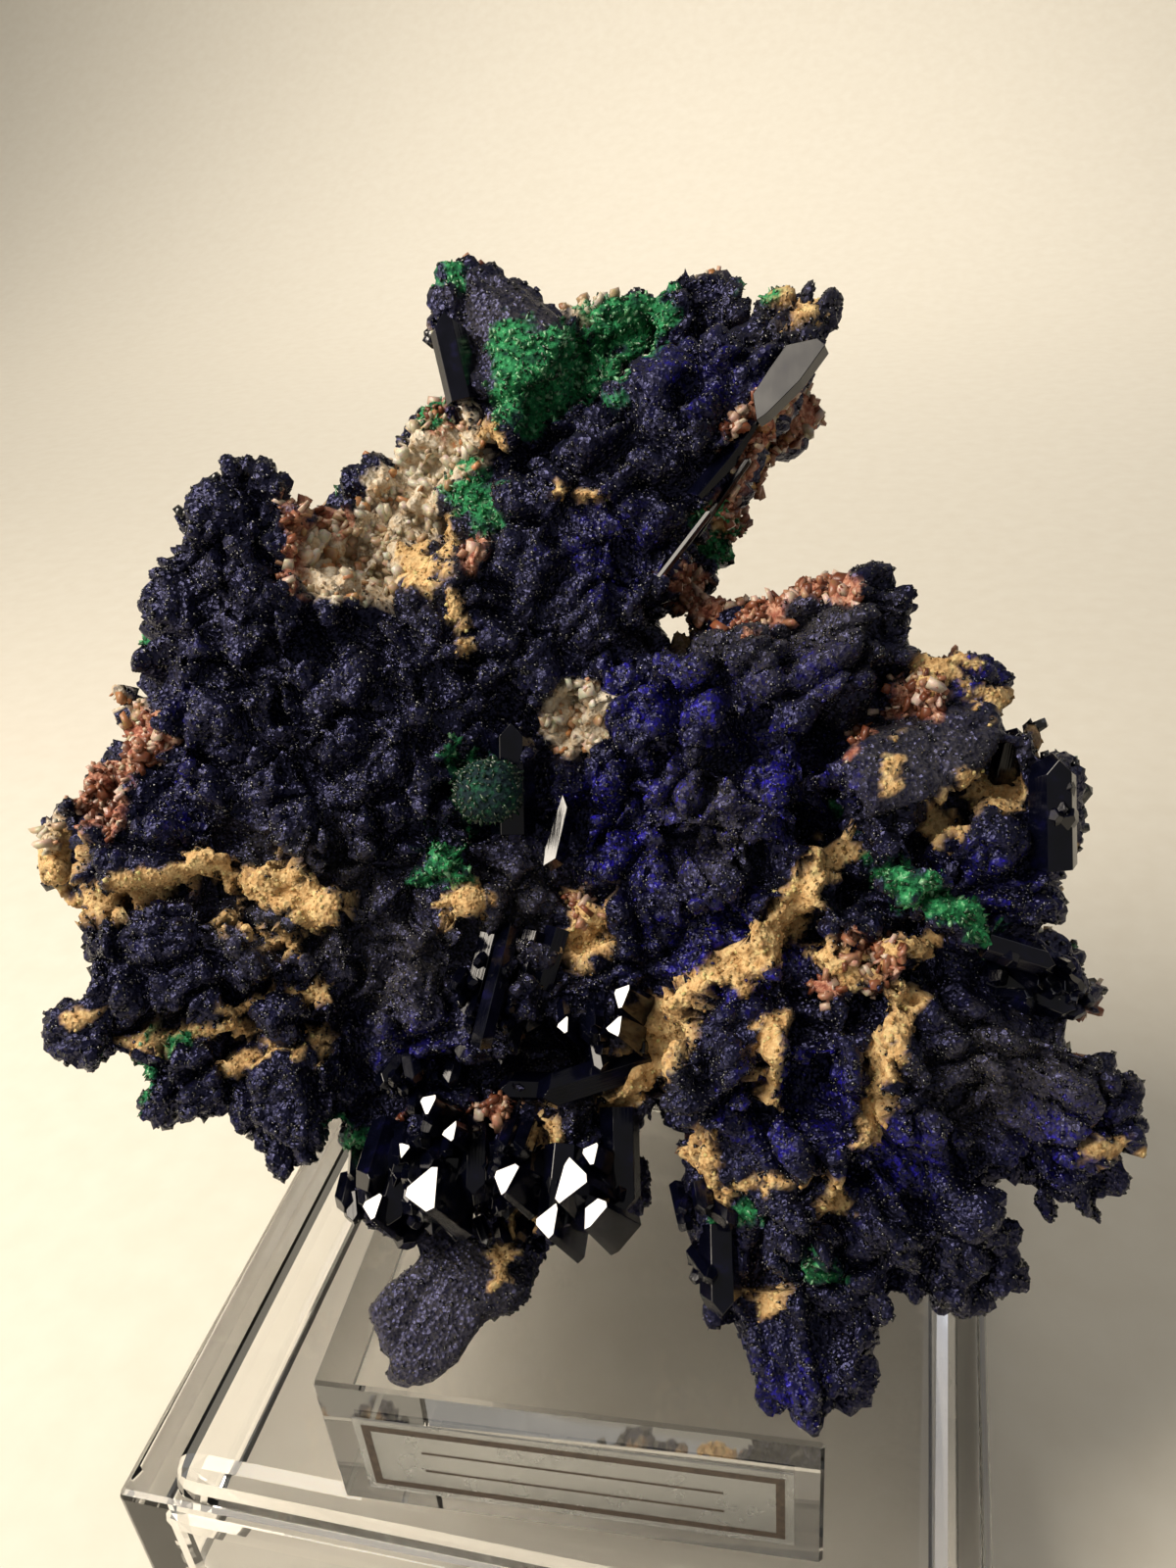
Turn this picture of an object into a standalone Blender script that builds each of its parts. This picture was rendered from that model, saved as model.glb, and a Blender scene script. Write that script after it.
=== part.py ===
"""Azurite specimen that leans on a clear block, which stands on a clear moulded base.

Metres, +Z up. The origin is on the ground, under the middle of the whole object's box.
"""
import math
import random

import bmesh
import bpy
from mathutils import Matrix, Vector

MM = 0.001
GAP = 0.3

# Base: a moulded tray, open underneath (mm)
BASE_SIDE = 91.4
BASE_HEIGHT = 20.0
BASE_WALL = 3.0
BASE_INNER_RADIUS = 4.0
BASE_INNER_STEPS = 4
BASE_EDGE = 0.8
BASE_EDGE_STEPS = 2

# Block: solid, resting on the base, its front left corner given from the base's own (mm)
BLOCK_SIDE = 50.0
BLOCK_HEIGHT = 19.5
BLOCK_CORNER = (25.2, 4.35)
BLOCK_TURN = 2.96
BLOCK_EDGE = 0.35

# Label: a thin film on the block's front face (mm)
LABEL_WIDTH = 43.6
LABEL_HEIGHT = 11.6
LABEL_THICKNESS = 0.2
LABEL_START = 3.65
LABEL_LOW = 3.55

# The specimen is laid out on a sheet that faces the viewer: across runs right and drop runs
# down from the sheet's top left corner, out runs towards the eye, all in mm. Sight lines
# through the eye carry each point off the sheet, so the outline is kept at every depth.
EYE = Vector((79.35, -64.32, 132.33))
EYE_PITCH = 30.31
EYE_ROLL = 5.37
EYE_YAW = -16.2
SHEET_MIDDLE = (60.0, 80.0)
SHEET_DISTANCE = 131.0

SEED = 33
CLUSTER_TRIANGLES = 9000
CUTTER_ROOM = 10.0
# Faces this close in direction, in degrees, are one flat face
FLAT_WITHIN = 1.0
# A slab's back is drawn in by this many bevels
BACK_TAPER = 1.5
# Ranges a prism's form is drawn from: chisel end and its edge, as parts of the width; the
# turn about its length, in degrees; how much narrower it is at the shoulder
HEXAGON = 6
CHISEL_LENGTH = (0.35, 0.6)
CHISEL_EDGE = (0.1, 0.25)
CHISEL_OFFSET = (-0.2, 0.2)
PRISM_TURN = (-20.0, 20.0)
PRISM_TAPER = (0.8, 0.92)
# Ranges a lump's form is drawn from: how far its corners stand out, and its tip over in radians
LUMP_CORNER = (0.88, 1.04)
LUMP_TIP_OVER = (-0.5, 0.5)

COLOURS = {
    "azurite_cluster": ((0.012, 0.018, 0.10, 1.0), 0.35, 1.0),
    "display_block": ((0.93, 0.95, 0.95, 1.0), 0.03, 0.35),
    "display_base": ((0.90, 0.93, 0.94, 1.0), 0.05, 0.35),
    "label": ((0.20, 0.15, 0.12, 1.0), 0.5, 1.0),
}

# Cores that fill the specimen behind its crystals: outline, front, back, bevel, lean
CORES = [
    ([(17, 56), (30, 51), (36, 61), (42, 80), (37, 100), (25, 105), (13, 98), (13, 78)],
     2.5, -20, 3, (0.03, 0)),
    ([(34, 62), (47, 55), (60, 44), (70, 50), (68, 66), (62, 84), (60, 104), (45, 108), (33, 102),
      (30, 82)], 2, -24, 3, (0.04, 0)),
    ([(60, 70), (76, 64), (90, 64), (102, 78), (105, 92), (104, 106), (92, 118), (74, 115),
      (64, 106), (58, 90)], 8, -22, 4, (0.15, 0.03)),
    ([(50, 62), (60, 46), (74, 37), (80, 38), (76, 50), (66, 64), (58, 74)], 3, -18, 3,
     (0.1, 0)),
    ([(70, 98), (100, 98), (112, 111), (109, 117), (92, 119), (76, 118), (69.5, 113)],
     13.4, -9, 3, (0.03, 0)),
    ([(69.5, 108), (92, 106), (110, 112), (109, 119), (92, 126), (76, 130), (70.4, 121)],
     13.2, 1.5, 3, (0.03, 0)),
    ([(37, 100), (60, 98), (68, 106), (63, 116), (54, 122), (43, 119), (37, 111)],
     1.5, -16, 3, (0, 0.1)),
    ([(8, 90), (28, 86), (40, 88), (41, 102), (36, 110), (27, 112), (12, 104)], 2.2, -11, 2,
     (0.05, 0)),
    ([(44, 51), (50, 42), (58, 36), (64, 38), (60, 50), (50, 60)], -1.5, -14, 2, (0, 0)),
    ([(17, 74), (30, 67), (47, 61), (51, 70), (49, 83), (36, 87), (21, 86)], 3.6, -8, 2,
     (0.05, 0)),
    ([(24, 91), (31, 87.4), (44, 84), (51, 86), (50, 94), (42, 98), (37, 104), (27, 104)],
     3.2, -8, 2, (0.06, 0.02)),
]

# Matrix that shows between the crystals, and the back that it forms
MATRIX = [
    ([(31, 53), (37.5, 53), (40.6, 48), (41.4, 44), (44.5, 41.2), (49.5, 43), (50, 52), (45, 60),
      (38, 62), (31.2, 61)], -4, -14, 1.5),
    ([(77.5, 40.5), (81.5, 39.6), (83.3, 42), (82, 45), (79.6, 46.6), (77, 50.5), (74, 50),
      (73.5, 44)], -6, -13, 1),
    ([(73, 49), (76.9, 50.5), (76.4, 53.5), (74.5, 57.5), (71.5, 61), (69, 63), (66, 62),
      (67.5, 56)], -4, -13, 1.2),
    ([(7.5, 84), (9.4, 80.4), (12.2, 77.4), (14.2, 71.5), (17, 75), (18, 83), (13, 87)], -4, -13, 1),
    ([(3.8, 86.5), (4.2, 83.2), (6, 82.8), (9, 81), (13, 86), (12, 93.5), (8, 92.6),
      (4.4, 90.2)], -3, -12, 1),
    ([(9, 91), (17, 88), (23, 86), (30, 88), (28, 93.5), (18, 94), (9.4, 93)], 1.8, -10, 0.8),
    ([(12, 104), (24, 101), (29, 103), (26, 108), (14, 108)], 2, -9, 0.8),
    ([(50.5, 33.4), (57, 35.5), (61, 30.6), (66, 29.7), (68.5, 30.6), (68, 36), (62, 41),
      (54.5, 47), (51.5, 42)], -4.5, -15, 1.2),
    ([(55, 75), (57.5, 71), (60.6, 69), (62.4, 71.5), (61, 76), (57.5, 78)], 1, -8, 0.8),
    ([(34, 106), (40, 104), (43, 112), (40, 120), (36.2, 119.6), (33.8, 115)], 0.5, -8, 1),
    ([(79, 61.2), (83, 59.4), (87.6, 58.4), (89, 61), (82, 63.5)], 5, -4, 0.6),
    ([(24, 64), (44, 52), (62, 45), (68, 54), (66, 66), (60, 96), (34, 102), (20, 84)],
     -12, -26, 3),
    ([(58, 70), (74, 66), (88, 70), (96, 90), (88, 107), (62, 110), (50, 98)], -12, -27, 3.5),
    ([(48, 96), (66, 94), (76, 100), (75, 107), (66, 111.4), (56, 112.4), (48, 109)],
     -17, -31, 1.5),
]

# Broad flat-faced crystals: outline, front, back, bevel, lean of the front face
SLABS = [
    ([(44.9, 27.2), (47.4, 26.2), (53, 28.6), (57, 32), (59.6, 34.6), (55, 40.5), (50, 44),
      (46, 40), (43.6, 33)], 1.2, -12, 1.6, (0.10, 0.12)),
    ([(67.2, 36), (67.4, 31), (69.2, 27.8), (71.8, 28.6), (75.2, 28), (76.3, 31), (76, 37)],
     -0.8, -10, 1.2, (0.05, 0.1)),
    ([(77.2, 31), (79.5, 29.4), (82.3, 29.1), (85.9, 30.4), (85.8, 32.2), (83.8, 35.8), (81, 38),
      (76.5, 36.5)], 4.5, -7, 1.2, (0.10, 0)),
    ([(47.5, 71), (46.8, 66), (50, 58), (55, 49), (60, 42.6), (66, 37.4), (76, 33.6),
      (84.4, 33.6), (84.6, 35.4), (79, 43), (74.6, 50), (70.4, 57.4), (67.4, 62.6), (60, 71),
      (53, 75)], 5.6, -10, 3, (0.12, -0.02)),
    ([(76.4, 40.6), (80.5, 35.8), (83.6, 34.4), (85.1, 35.1), (81.6, 40), (77.4, 43.6)],
     8.4, -2, 0.8, (-0.2, -0.2)),
    ([(14.2, 66), (14, 62), (16.5, 55.6), (20.3, 50.4), (22.5, 47.6), (25, 46.6), (28.8, 48.2),
      (30.6, 50.6), (31, 56), (30.9, 66), (22, 70), (15, 70)], 4.2, -13, 1.8, (0.06, 0.03)),
    ([(25.2, 84.5), (25.4, 81), (27, 79.6), (32, 79.3), (34, 82), (34, 86), (31, 87.6),
      (26.5, 87)], 5.8, -5, 1, (0.04, 0.18)),
    ([(12, 82.6), (12.6, 78.6), (14.4, 75.6), (17, 75.4), (18.2, 79), (17.5, 83.5)],
     1.6, -9, 0.8, (-0.25, -0.15)),
    ([(7.3, 90.2), (7.6, 86.2), (9.3, 83.2), (12, 82.3), (17, 83.6), (23, 86), (24, 88),
      (17.4, 90), (10, 90.8)], 4.6, -8, 1.2, (0, 0.06)),
    ([(6.6, 98), (6.9, 94.6), (8.5, 93.1), (14, 92.6), (20, 91.4), (22, 93), (25, 96.5),
      (25.2, 101), (20, 103.5), (12, 104), (8.2, 101.6)], 5.4, -8, 1.4, (0.03, 0.04)),
    ([(4.1, 105), (4.2, 102.8), (6.5, 101.8), (9, 101.3), (12.5, 103.5), (13.2, 106.5),
      (12.6, 108), (10, 108.9), (7, 108.6), (5, 107.2)], 4.2, -6, 1.3, (0, 0.1)),
    ([(13.3, 108), (16, 106.8), (23, 107), (24.2, 110), (23.5, 114), (19.5, 114.9), (15, 114.2),
      (14.1, 111)], 4.2, -8, 1, (0.03, 0)),
    ([(23.4, 113.5), (24, 111), (28, 107.2), (33.5, 107.6), (35.6, 111.5), (34, 116),
      (31, 118), (26.5, 117.8), (24.2, 116)], 5, -7, 1.2, (0, 0)),
    ([(49.4, 91.5), (52, 89), (56, 86.5), (58, 88), (57.5, 94), (55, 97), (51.5, 97),
      (49.8, 94)], 4, -6, 0.8, (-0.2, -0.25)),
    ([(37, 104), (39.6, 98), (41.8, 94.4), (44.6, 93), (47.5, 94.4), (48, 98), (46.4, 104),
      (45.4, 109), (43, 110.2), (39, 107.4)], 6.6, -6, 1.6, (0, 0.06)),
    ([(57.4, 102), (59, 98.4), (62, 96), (66, 96.3), (68.2, 99.6), (67, 103.6), (63.5, 104.6),
      (60, 104)], 6.4, -6, 1.6, (0.04, -0.1)),
    ([(54.3, 113.8), (56, 109.2), (58, 107.8), (65, 107.7), (66.8, 109), (64, 113),
      (60, 114.5)], 6.6, -3, 0.9, (0.02, 0.1)),
    ([(62.5, 71), (68, 65), (74, 62.8), (80, 61.8), (86, 59.8), (89.4, 59), (90, 66), (88, 73),
      (80, 78), (68, 78)], 9.4, -8, 2, (0.16, 0.08)),
    ([(94, 67), (96, 65.6), (98.5, 66.2), (101, 67.8), (101.6, 69), (103, 69.2), (103.4, 70.6),
      (102.8, 74), (98, 75), (94, 72)], 12, -2, 1, (0, 0)),
    ([(84, 80), (88, 74.4), (95, 72.6), (101, 72.2), (103, 73.6), (101, 78), (96, 82), (89, 85),
      (85, 84)], 15.4, 2, 1, (0, 0.28)),
    ([(102.4, 75), (105, 73.4), (106.6, 76.5), (108, 79.4), (104.5, 82)], 14, -1, 0.8, (0.1, 0)),
    ([(104.6, 84), (105.6, 77.6), (108, 76.2), (109.6, 77.1), (110.4, 79), (110.7, 83),
      (110.2, 86), (108.8, 88.2), (105, 88)], 15.5, -3, 1, (0.25, 0)),
    ([(94.5, 87), (99, 82.5), (106, 80.6), (109, 86), (108.5, 90), (108.2, 93.4), (107, 95),
      (102, 96), (97, 92)], 16, -4, 1.6, (0, 0.1)),
    ([(68, 78), (76, 75.4), (84, 77), (85.5, 82), (79, 87.6), (70, 86.5)], 10.8, -4, 1.8,
     (0.16, 0.05)),
    ([(68, 89), (76, 86.8), (82, 88), (80.5, 94), (75.5, 99), (71, 98.4), (67.2, 94)],
     10.4, -4, 1.6, (0.14, 0)),
    ([(89, 89.8), (94, 88.2), (98.6, 89.6), (101.2, 93.6), (103.2, 97), (102, 98.6),
      (98.6, 97.6), (95, 94.4)], 17.6, 4, 1, (0, 0)),
    ([(98.5, 97), (105, 94.4), (108.5, 96), (110.6, 97.5), (112, 101), (112.5, 103.8),
      (110, 104.2), (104, 103)], 12.5, 1, 1, (0.1, 0.1)),
    ([(67.8, 107), (70, 105.6), (76, 105.6), (77.6, 109), (77, 115), (72, 117), (67.8, 113.5)],
     15.4, 0, 1.8, (0, 0.08)),
    ([(88, 123), (94, 121), (101, 121), (104.4, 125), (103.6, 130.6), (101, 133.8),
      (94.4, 133.6), (90, 130.6)], 14, 4, 1.3, (0, 0)),
    ([(50, 121), (55.4, 116.6), (57, 120), (54.4, 128), (51.4, 132), (49.2, 136), (46.8, 139.2),
      (44.4, 141), (41.8, 141.8), (39.8, 141), (38.4, 137), (37.4, 133.6), (39.4, 131),
      (43, 127.6)], 5, 1.4, 1, (0, 0.27)),
    ([(98, 79), (106, 78), (108, 88), (100, 93), (95, 87)], 10.5, -6, 1.5, (0, 0)),
    ([(64, 96), (70, 96), (73, 102), (71, 112), (66, 114), (62, 108)], 5.2, -6, 1.5, (0.2, 0)),
]

# Long crystals: foot, tip, width across the sheet, thickness
PRISMS = [
    # beside the top wedge, and the pair of crystals on the top edge
    ((47.8, 41.6, -1), (43.7, 31.2, 0.4), 5, 6),
    ((49.4, 44.5, -1), (47.4, 37, 2.4), 3.6, 4),
    ((52, 45, -1), (51.2, 38.6, 2), 3.2, 4),
    ((70, 38, -3), (69.9, 26.7, -1.6), 5.7, 7),
    ((73.4, 37, -4), (74.4, 27.1, -2.2), 5.5, 8),
    ((68.4, 37, -2), (67.6, 30.5, 0), 3.2, 4),
    ((36, 55, -4), (35.7, 50.4, -2.6), 3.6, 4),
    ((39.4, 53, -5), (39.3, 48.8, -3.6), 2.5, 3),
    # ridges that run up the great blade
    ((57.5, 50, 2.6), (70, 36.4, 4.8), 8.4, 7),
    ((65, 40, 3.6), (84.6, 33, 7.2), 7.6, 8),
    ((61, 51, 3.6), (80.6, 37.8, 7.8), 6.4, 6),
    ((65.4, 48.6, 4.6), (76.8, 40.6, 8.4), 8.4, 6),
    ((47.6, 60.6, 0.6), (55.4, 48.4, 3.2), 7.8, 7),
    ((50.5, 65.4, 1.6), (59.6, 53.4, 4.6), 7, 6),
    ((54, 69.6, 2), (63.6, 55.4, 5.6), 6.7, 6),
    ((59, 70, 2.2), (68.4, 56, 6), 5.9, 6),
    ((57, 58.6, 3.6), (65.4, 51, 6.2), 5.3, 5),
    ((55, 55, 3), (60.6, 45.8, 4.8), 5.3, 5),
    ((68, 57, 4), (67.4, 49, 6.6), 3.6, 4),
    ((72.6, 53, 2.6), (79.4, 41.4, 6.6), 5, 6),
    ((47.6, 72, 1.6), (55.4, 63.6, 4.6), 7.8, 7),
    # the tall block's straight right side and the glossy face set in it
    ((29.6, 66, -2), (29.8, 51, 0.6), 2.7, 9),
    ((27.4, 65.4, 3), (21.4, 62.2, 4.8), 4.6, 4),
    # diagonal ridges left of the middle
    ((40.2, 66, 0.8), (52, 56.6, 3.2), 10.4, 8),
    ((36, 67, 1.2), (44.6, 61.6, 3.6), 5.8, 5),
    ((16.6, 75, 0.8), (28.6, 69.4, 4.2), 7, 6),
    ((22, 73.4, 2.2), (32.4, 67.4, 4.6), 5.2, 5),
    ((22, 80.2, 1.6), (36, 72.4, 4.6), 7, 6),
    ((30, 74.4, 2.2), (42.4, 67.2, 4.8), 6.4, 5),
    ((34.2, 80, 2.2), (45.4, 70.4, 5.2), 7.2, 6),
    ((37.6, 71, 3.2), (47.4, 64.8, 5), 5.8, 5),
    ((39.4, 83, 1.8), (47.8, 73.8, 4.4), 6.1, 6),
    # upright ribs and long edges of the shelf crystals on the left
    ((10.6, 104, 1.6), (10, 93.2, 3.6), 4.8, 6),
    ((15.2, 104, 2.2), (14.8, 92.6, 4), 4.6, 6),
    ((19.8, 104, 2.4), (19.6, 91.8, 4.2), 4.4, 6),
    ((23.4, 88.4, 0.6), (7.4, 88.8, 2.6), 4.2, 6),
    ((22.6, 85.6, 0.4), (8.6, 84.6, 2.4), 4.0, 6),
    # left edge
    ((13.6, 79, -4), (12.9, 69, -2), 3.8, 4.5),
    ((19, 85, 0), (18.7, 74.5, 3), 2.9, 4),
    ((20.2, 97.4, 3), (25.8, 94.4, 6), 3.8, 4),
    ((20.8, 101.2, 3.4), (26.8, 98, 6.4), 4.2, 4),
    ((30, 111, 1), (29, 121.3, 4.4), 6.9, 7),
    ((25.6, 109, 1), (24.5, 117.4, 3.4), 3.6, 5),
    # the dark column, the lit face and the striated prisms of the middle
    ((52.6, 91, 0), (52.5, 72.6, 4.2), 7.6, 8),
    ((55, 89, 1), (57.9, 81, 4.6), 3.2, 4),
    ((50.2, 95, 2), (47.2, 108.9, 7), 4.4, 5),
    ((54.2, 95.6, 3), (50.6, 108.6, 8), 5.1, 5),
    ((57.4, 95, 2), (54.4, 105.4, 6), 3.7, 5),
    ((60.4, 98.2, 3), (55.2, 103.6, 6.8), 4.4, 4),
    ((67, 104.4, 3), (59.4, 105.4, 7.4), 4.4, 5),
    # the glossy cluster at the foot of the middle
    ((43, 108, 0.7), (43.8, 115.2, 6.7), 6, 6),
    ((48.4, 111, 0.7), (44.8, 117.8, 7.1), 5.5, 6),
    ((44.2, 112, 0.7), (43.2, 124.4, 8.3), 8.2, 8),
    ((40.4, 114, -0.3), (37.6, 124.2, 5.7), 5.3, 6),
    ((39.6, 117, -0.3), (34.5, 123.8, 3.7), 3.8, 5),
    ((42, 124, -0.3), (36.2, 125.6, 3.7), 4.1, 5),
    ((44.4, 122, 0.7), (39.6, 127.8, 4.7), 5.3, 5),
    ((51.4, 112, 1.7), (51.6, 122.4, 8.1), 6, 7),
    ((48.4, 115, 0.7), (48.4, 125.4, 7.1), 5, 6),
    ((58, 113, 2.7), (57.8, 122.8, 8.7), 6.2, 7),
    ((61, 111.4, 1.7), (60.4, 119.6, 6.7), 5.3, 6),
    ((56.2, 118, 1.7), (56, 127.8, 7.7), 6, 7),
    ((61, 116, 2.7), (60.8, 126.4, 8.7), 6.7, 7),
    ((62, 111, -0.3), (63.9, 125.4, 5.1), 7.9, 8),
    ((57.6, 121, 1.7), (58.8, 128.2, 6.3), 4.8, 5),
    # the fan's ridge, its ledges and right part
    ((83.4, 71, 6), (90.8, 57.3, 11.6), 7.6, 10),
    ((92.6, 73, 6), (91.7, 58, 10.6), 5.3, 10),
    ((62.4, 72, 5), (80, 65, 12), 6.9, 7),
    ((64, 75.6, 6), (82.4, 70, 13), 5.8, 7),
    ((79.6, 74, 9), (90, 65.6, 14), 7.6, 8),
    # upper arm of the lower right crystals
    ((95, 103, 10.6), (116.4, 112, 14.2), 9.6, 10),
    ((103, 116, 9.6), (116.9, 116.6, 13.6), 8.9, 9),
    ((105, 119.4, 9.6), (115.4, 120.8, 12.6), 6.5, 8),
    ((109.4, 117, 8.6), (112.7, 126.1, 12), 4.1, 5),
    ((105.6, 116, 8.6), (108, 124.6, 11.6), 4.8, 5),
    ((96, 101, 10.6), (101.6, 112.6, 15.6), 8.4, 8),
    # parallel crystals that point down the lower right
    ((85.4, 100, 10.6), (86, 110.8, 16), 6.5, 7),
    ((92.4, 104, 11.6), (93.6, 117.6, 17), 8.6, 9),
    ((79.6, 112.6, 10.6), (85.6, 121.6, 16.2), 7.2, 8),
    ((86, 111.6, 11.6), (87.4, 120, 16.6), 5.5, 6),
    ((79.8, 117, 10.6), (83.6, 130, 16), 7.9, 8),
    ((76.2, 119, 8.6), (79, 127, 14), 5.8, 6),
    ((89.4, 118, 10.6), (92.6, 131.4, 15.6), 8.4, 8),
    ((98, 117, 9.6), (101.4, 129, 15), 7.9, 8),
    ((73.4, 115, 5.6), (74.2, 136.2, 10.6), 8.2, 7),
    ((69.8, 112, 3.6), (70.6, 130, 7.6), 3.8, 8),
    ((87, 123, 8.6), (89, 138.8, 14), 7.9, 7),
    ((81, 124, 7.6), (83, 136, 14.2), 7.9, 7),
    ((77.6, 127, 6.6), (79.8, 144.2, 12.2), 8.4, 6),
    ((82.6, 127, 7.6), (84.4, 147, 13.4), 8.6, 6),
    ((86.4, 130, 8.6), (87, 143.6, 13.6), 4.8, 5),
    ((76.6, 129, 5.6), (77.8, 142.6, 10.6), 5.5, 5),
    ((101, 126, 7.6), (103, 131.6, 12.6), 4.3, 5),
    # the sliver beside the lower blade
    ((58, 122, -3), (50, 134.2, 3.6), 5.3, 5),
]

# Blocky lumps: middle, half width, half height
LUMPS = [
    # top edge, malachite and its neighbours
    ((62.6, 32.2, -4), 2.8, 2.4), ((66, 31.6, -4), 2.6, 2.0), ((57.4, 37.6, -4), 2.4, 2.2),
    ((54.6, 42.4, -3.4), 2.2, 2.6), ((59.2, 31.6, -9), 2.4, 1.5), ((58.8, 34.2, -4), 2.0, 1.6),
    ((53.2, 37.8, -2.6), 1.8, 1.6), ((77.8, 29.9, -5), 1.6, 1.4), ((61.6, 37.4, -4), 2.4, 2.2),
    # pale matrix crystals
    ((44.4, 45.4, -4), 3.2, 2.8), ((47.6, 46.2, -3.4), 2.6, 2.6), ((42.6, 49, -5), 2.2, 2.0),
    ((33, 57, -4), 2.4, 2.8), ((36.4, 59, -3.6), 2.2, 2.0), ((38.8, 56, -3.4), 2.4, 2.6),
    ((41.4, 51.8, -4.4), 2.4, 2.2), ((41.4, 57.6, -2.4), 2.2, 2.4), ((43.2, 38.4, -5), 1.2, 2.2),
    ((80.6, 42.4, -7), 2.2, 2.2), ((72.4, 62.6, -1), 2.0, 1.8), ((75, 62.9, 0), 1.8, 1.5),
    # the tall block's lobes and steps
    ((23.4, 50, 2), 3.2, 3.4), ((28, 51.4, 2), 3.0, 3.4), ((19.8, 54, 2.4), 3.0, 2.6),
    ((25.4, 55, 3.6), 3.4, 2.6), ((17.4, 57.8, 2), 2.7, 2.6), ((22, 59, 3.8), 3.2, 2.4),
    ((28, 59.4, 3.4), 2.8, 3.0), ((16, 62.8, 2.2), 2.4, 2.5), ((19.4, 64, 3.6), 2.2, 2.2),
    ((15.2, 67.6, 1.6), 2.0, 2.4), ((18.4, 68, 3.6), 2.6, 2.0), ((24, 68.4, 4), 3.2, 1.9),
    ((28.6, 67, 3.6), 2.0, 2.2),
    # rough middle left
    ((33.8, 61.8, 1.4), 4.2, 4.2), ((22.2, 82.6, 3), 3.4, 3.0), ((36.8, 82, 3.6), 2.8, 3.4),
    ((43.5, 82.6, 3.2), 3.0, 3.2), ((18.8, 78, 1.6), 2.2, 2.8), ((29.6, 77.8, 3), 2.6, 2.0),
    ((49.2, 73.6, 2.4), 2.6, 2.8), ((51.4, 68, 3.4), 4.0, 3.4),
    # far left edge
    ((5, 85.8, -1.6), 1.5, 1.5), ((7.2, 82.8, -2), 1.3, 1.2), ((10.6, 79.4, -3), 1.9, 1.5),
    ((5.6, 89.2, -2), 1.6, 1.5),
    # below the shelf crystals
    ((27, 90, 2.6), 2.4, 2.2), ((31.2, 89, 3), 2.8, 2.4), ((29, 93.4, 3.2), 2.6, 2.2),
    ((33.4, 93, 3.6), 2.4, 2.4), ((27.4, 99, 3.6), 2.6, 2.0), ((31.6, 98.4, 4), 2.6, 2.4),
    ((35, 97.4, 4), 2.4, 3.0), ((29, 104.2, 4), 3.2, 2.4), ((22.6, 104, 3.2), 2.4, 1.9),
    ((33.8, 102.8, 4), 2.2, 2.0), ((37, 88.2, 2.8), 2.6, 2.8), ((41.2, 90.6, 3), 2.6, 2.6),
    ((43.2, 87, 3.2), 2.6, 1.8), ((47.4, 86, 3), 2.4, 2.0), ((41.6, 94.8, 3), 2.4, 2.0),
    ((37.4, 93.4, 3), 2.2, 2.6),
    # malachite balls
    ((50.3, 80.7, 5), 3.6, 3.6), ((47, 77, 3.6), 1.5, 1.5), ((45.7, 88.3, 4.4), 2.4, 2.3),
    ((47.6, 91.9, 4.2), 2.1, 1.7),
    # between the middle and the right
    ((62.4, 75.8, 2), 3.0, 2.8), ((64.2, 80, 3), 3.4, 3.2), ((60.4, 79.4, 1.6), 2.4, 2.8),
    ((62.6, 84.4, 3), 3.0, 3.0), ((66.8, 85, 4.4), 3.0, 3.0), ((59.6, 87, 2), 2.6, 3.0),
    ((63.6, 89.4, 3.6), 3.0, 2.6), ((59.8, 93.4, 2.4), 2.4, 2.2), ((65, 93, 4), 3.0, 3.0),
    ((68.6, 90, 5.4), 2.8, 3.0), ((58, 104.8, 4.6), 2.6, 1.9), ((53, 111.4, 5), 2.8, 1.8),
    ((40.6, 110.6, 4), 3.0, 3.0), ((49.2, 112.6, 4), 2.8, 1.9), ((53.4, 114.8, 4), 2.6, 1.7),
    ((39.2, 117, 2), 2.2, 2.2), ((66.6, 106, 4), 2.0, 2.0), ((66.2, 112, 4), 2.2, 3.0),
    # deep blue masses of the right half
    ((70.8, 78.6, 9), 3.4, 2.8), ((75.4, 80.8, 10), 3.2, 2.8), ((82, 79.4, 11.6), 3.4, 2.6),
    ((75.6, 85.2, 10.4), 3.4, 2.6), ((80.6, 84.6, 11.4), 3.0, 2.6), ((70.4, 84, 8.8), 3.0, 2.8),
    ((69.8, 92.6, 8.6), 3.2, 3.2), ((74.6, 89.8, 10), 3.6, 2.8), ((79.2, 91.4, 11), 3.2, 3.0),
    ((77.2, 95.8, 10.6), 3.0, 3.0), ((72.8, 96.8, 9.4), 3.2, 2.6), ((66.4, 74.6, 6.4), 3.4, 2.6),
    ((61.4, 71.6, 3.4), 2.6, 2.4), ((85.6, 98.6, 12.6), 3.4, 2.6), ((84, 91.4, 11.8), 2.8, 2.8),
    # right
    ((94.2, 70.4, 11.4), 2.8, 2.2), ((79.4, 82.4, 12.6), 4.0, 3.0), ((87.4, 83.4, 14), 3.0, 3.2),
    ((91.4, 85.8, 14.4), 3.0, 2.8), ((86.4, 94.2, 13.6), 3.6, 2.8), ((81.6, 87.4, 12), 2.8, 2.4),
    ((72.6, 91, 10.4), 3.4, 3.4), ((68, 81.4, 7), 3.0, 3.0), ((92.4, 97.6, 13.4), 3.4, 2.6),
    ((79, 100, 12), 3.2, 2.6), ((74, 102.6, 11), 3.0, 2.4), ((69.6, 102, 8), 3.0, 3.0),
    ((80.4, 107.6, 13.6), 3.2, 3.8), ((90.4, 100.6, 14), 3.2, 2.6), ((72.4, 122, 7), 2.6, 3.0),
    ((97, 115.4, 13), 3.4, 3.6), ((103.4, 107, 13.4), 3.4, 3.4), ((96.4, 126.4, 13), 3.4, 3.6),
]

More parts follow.
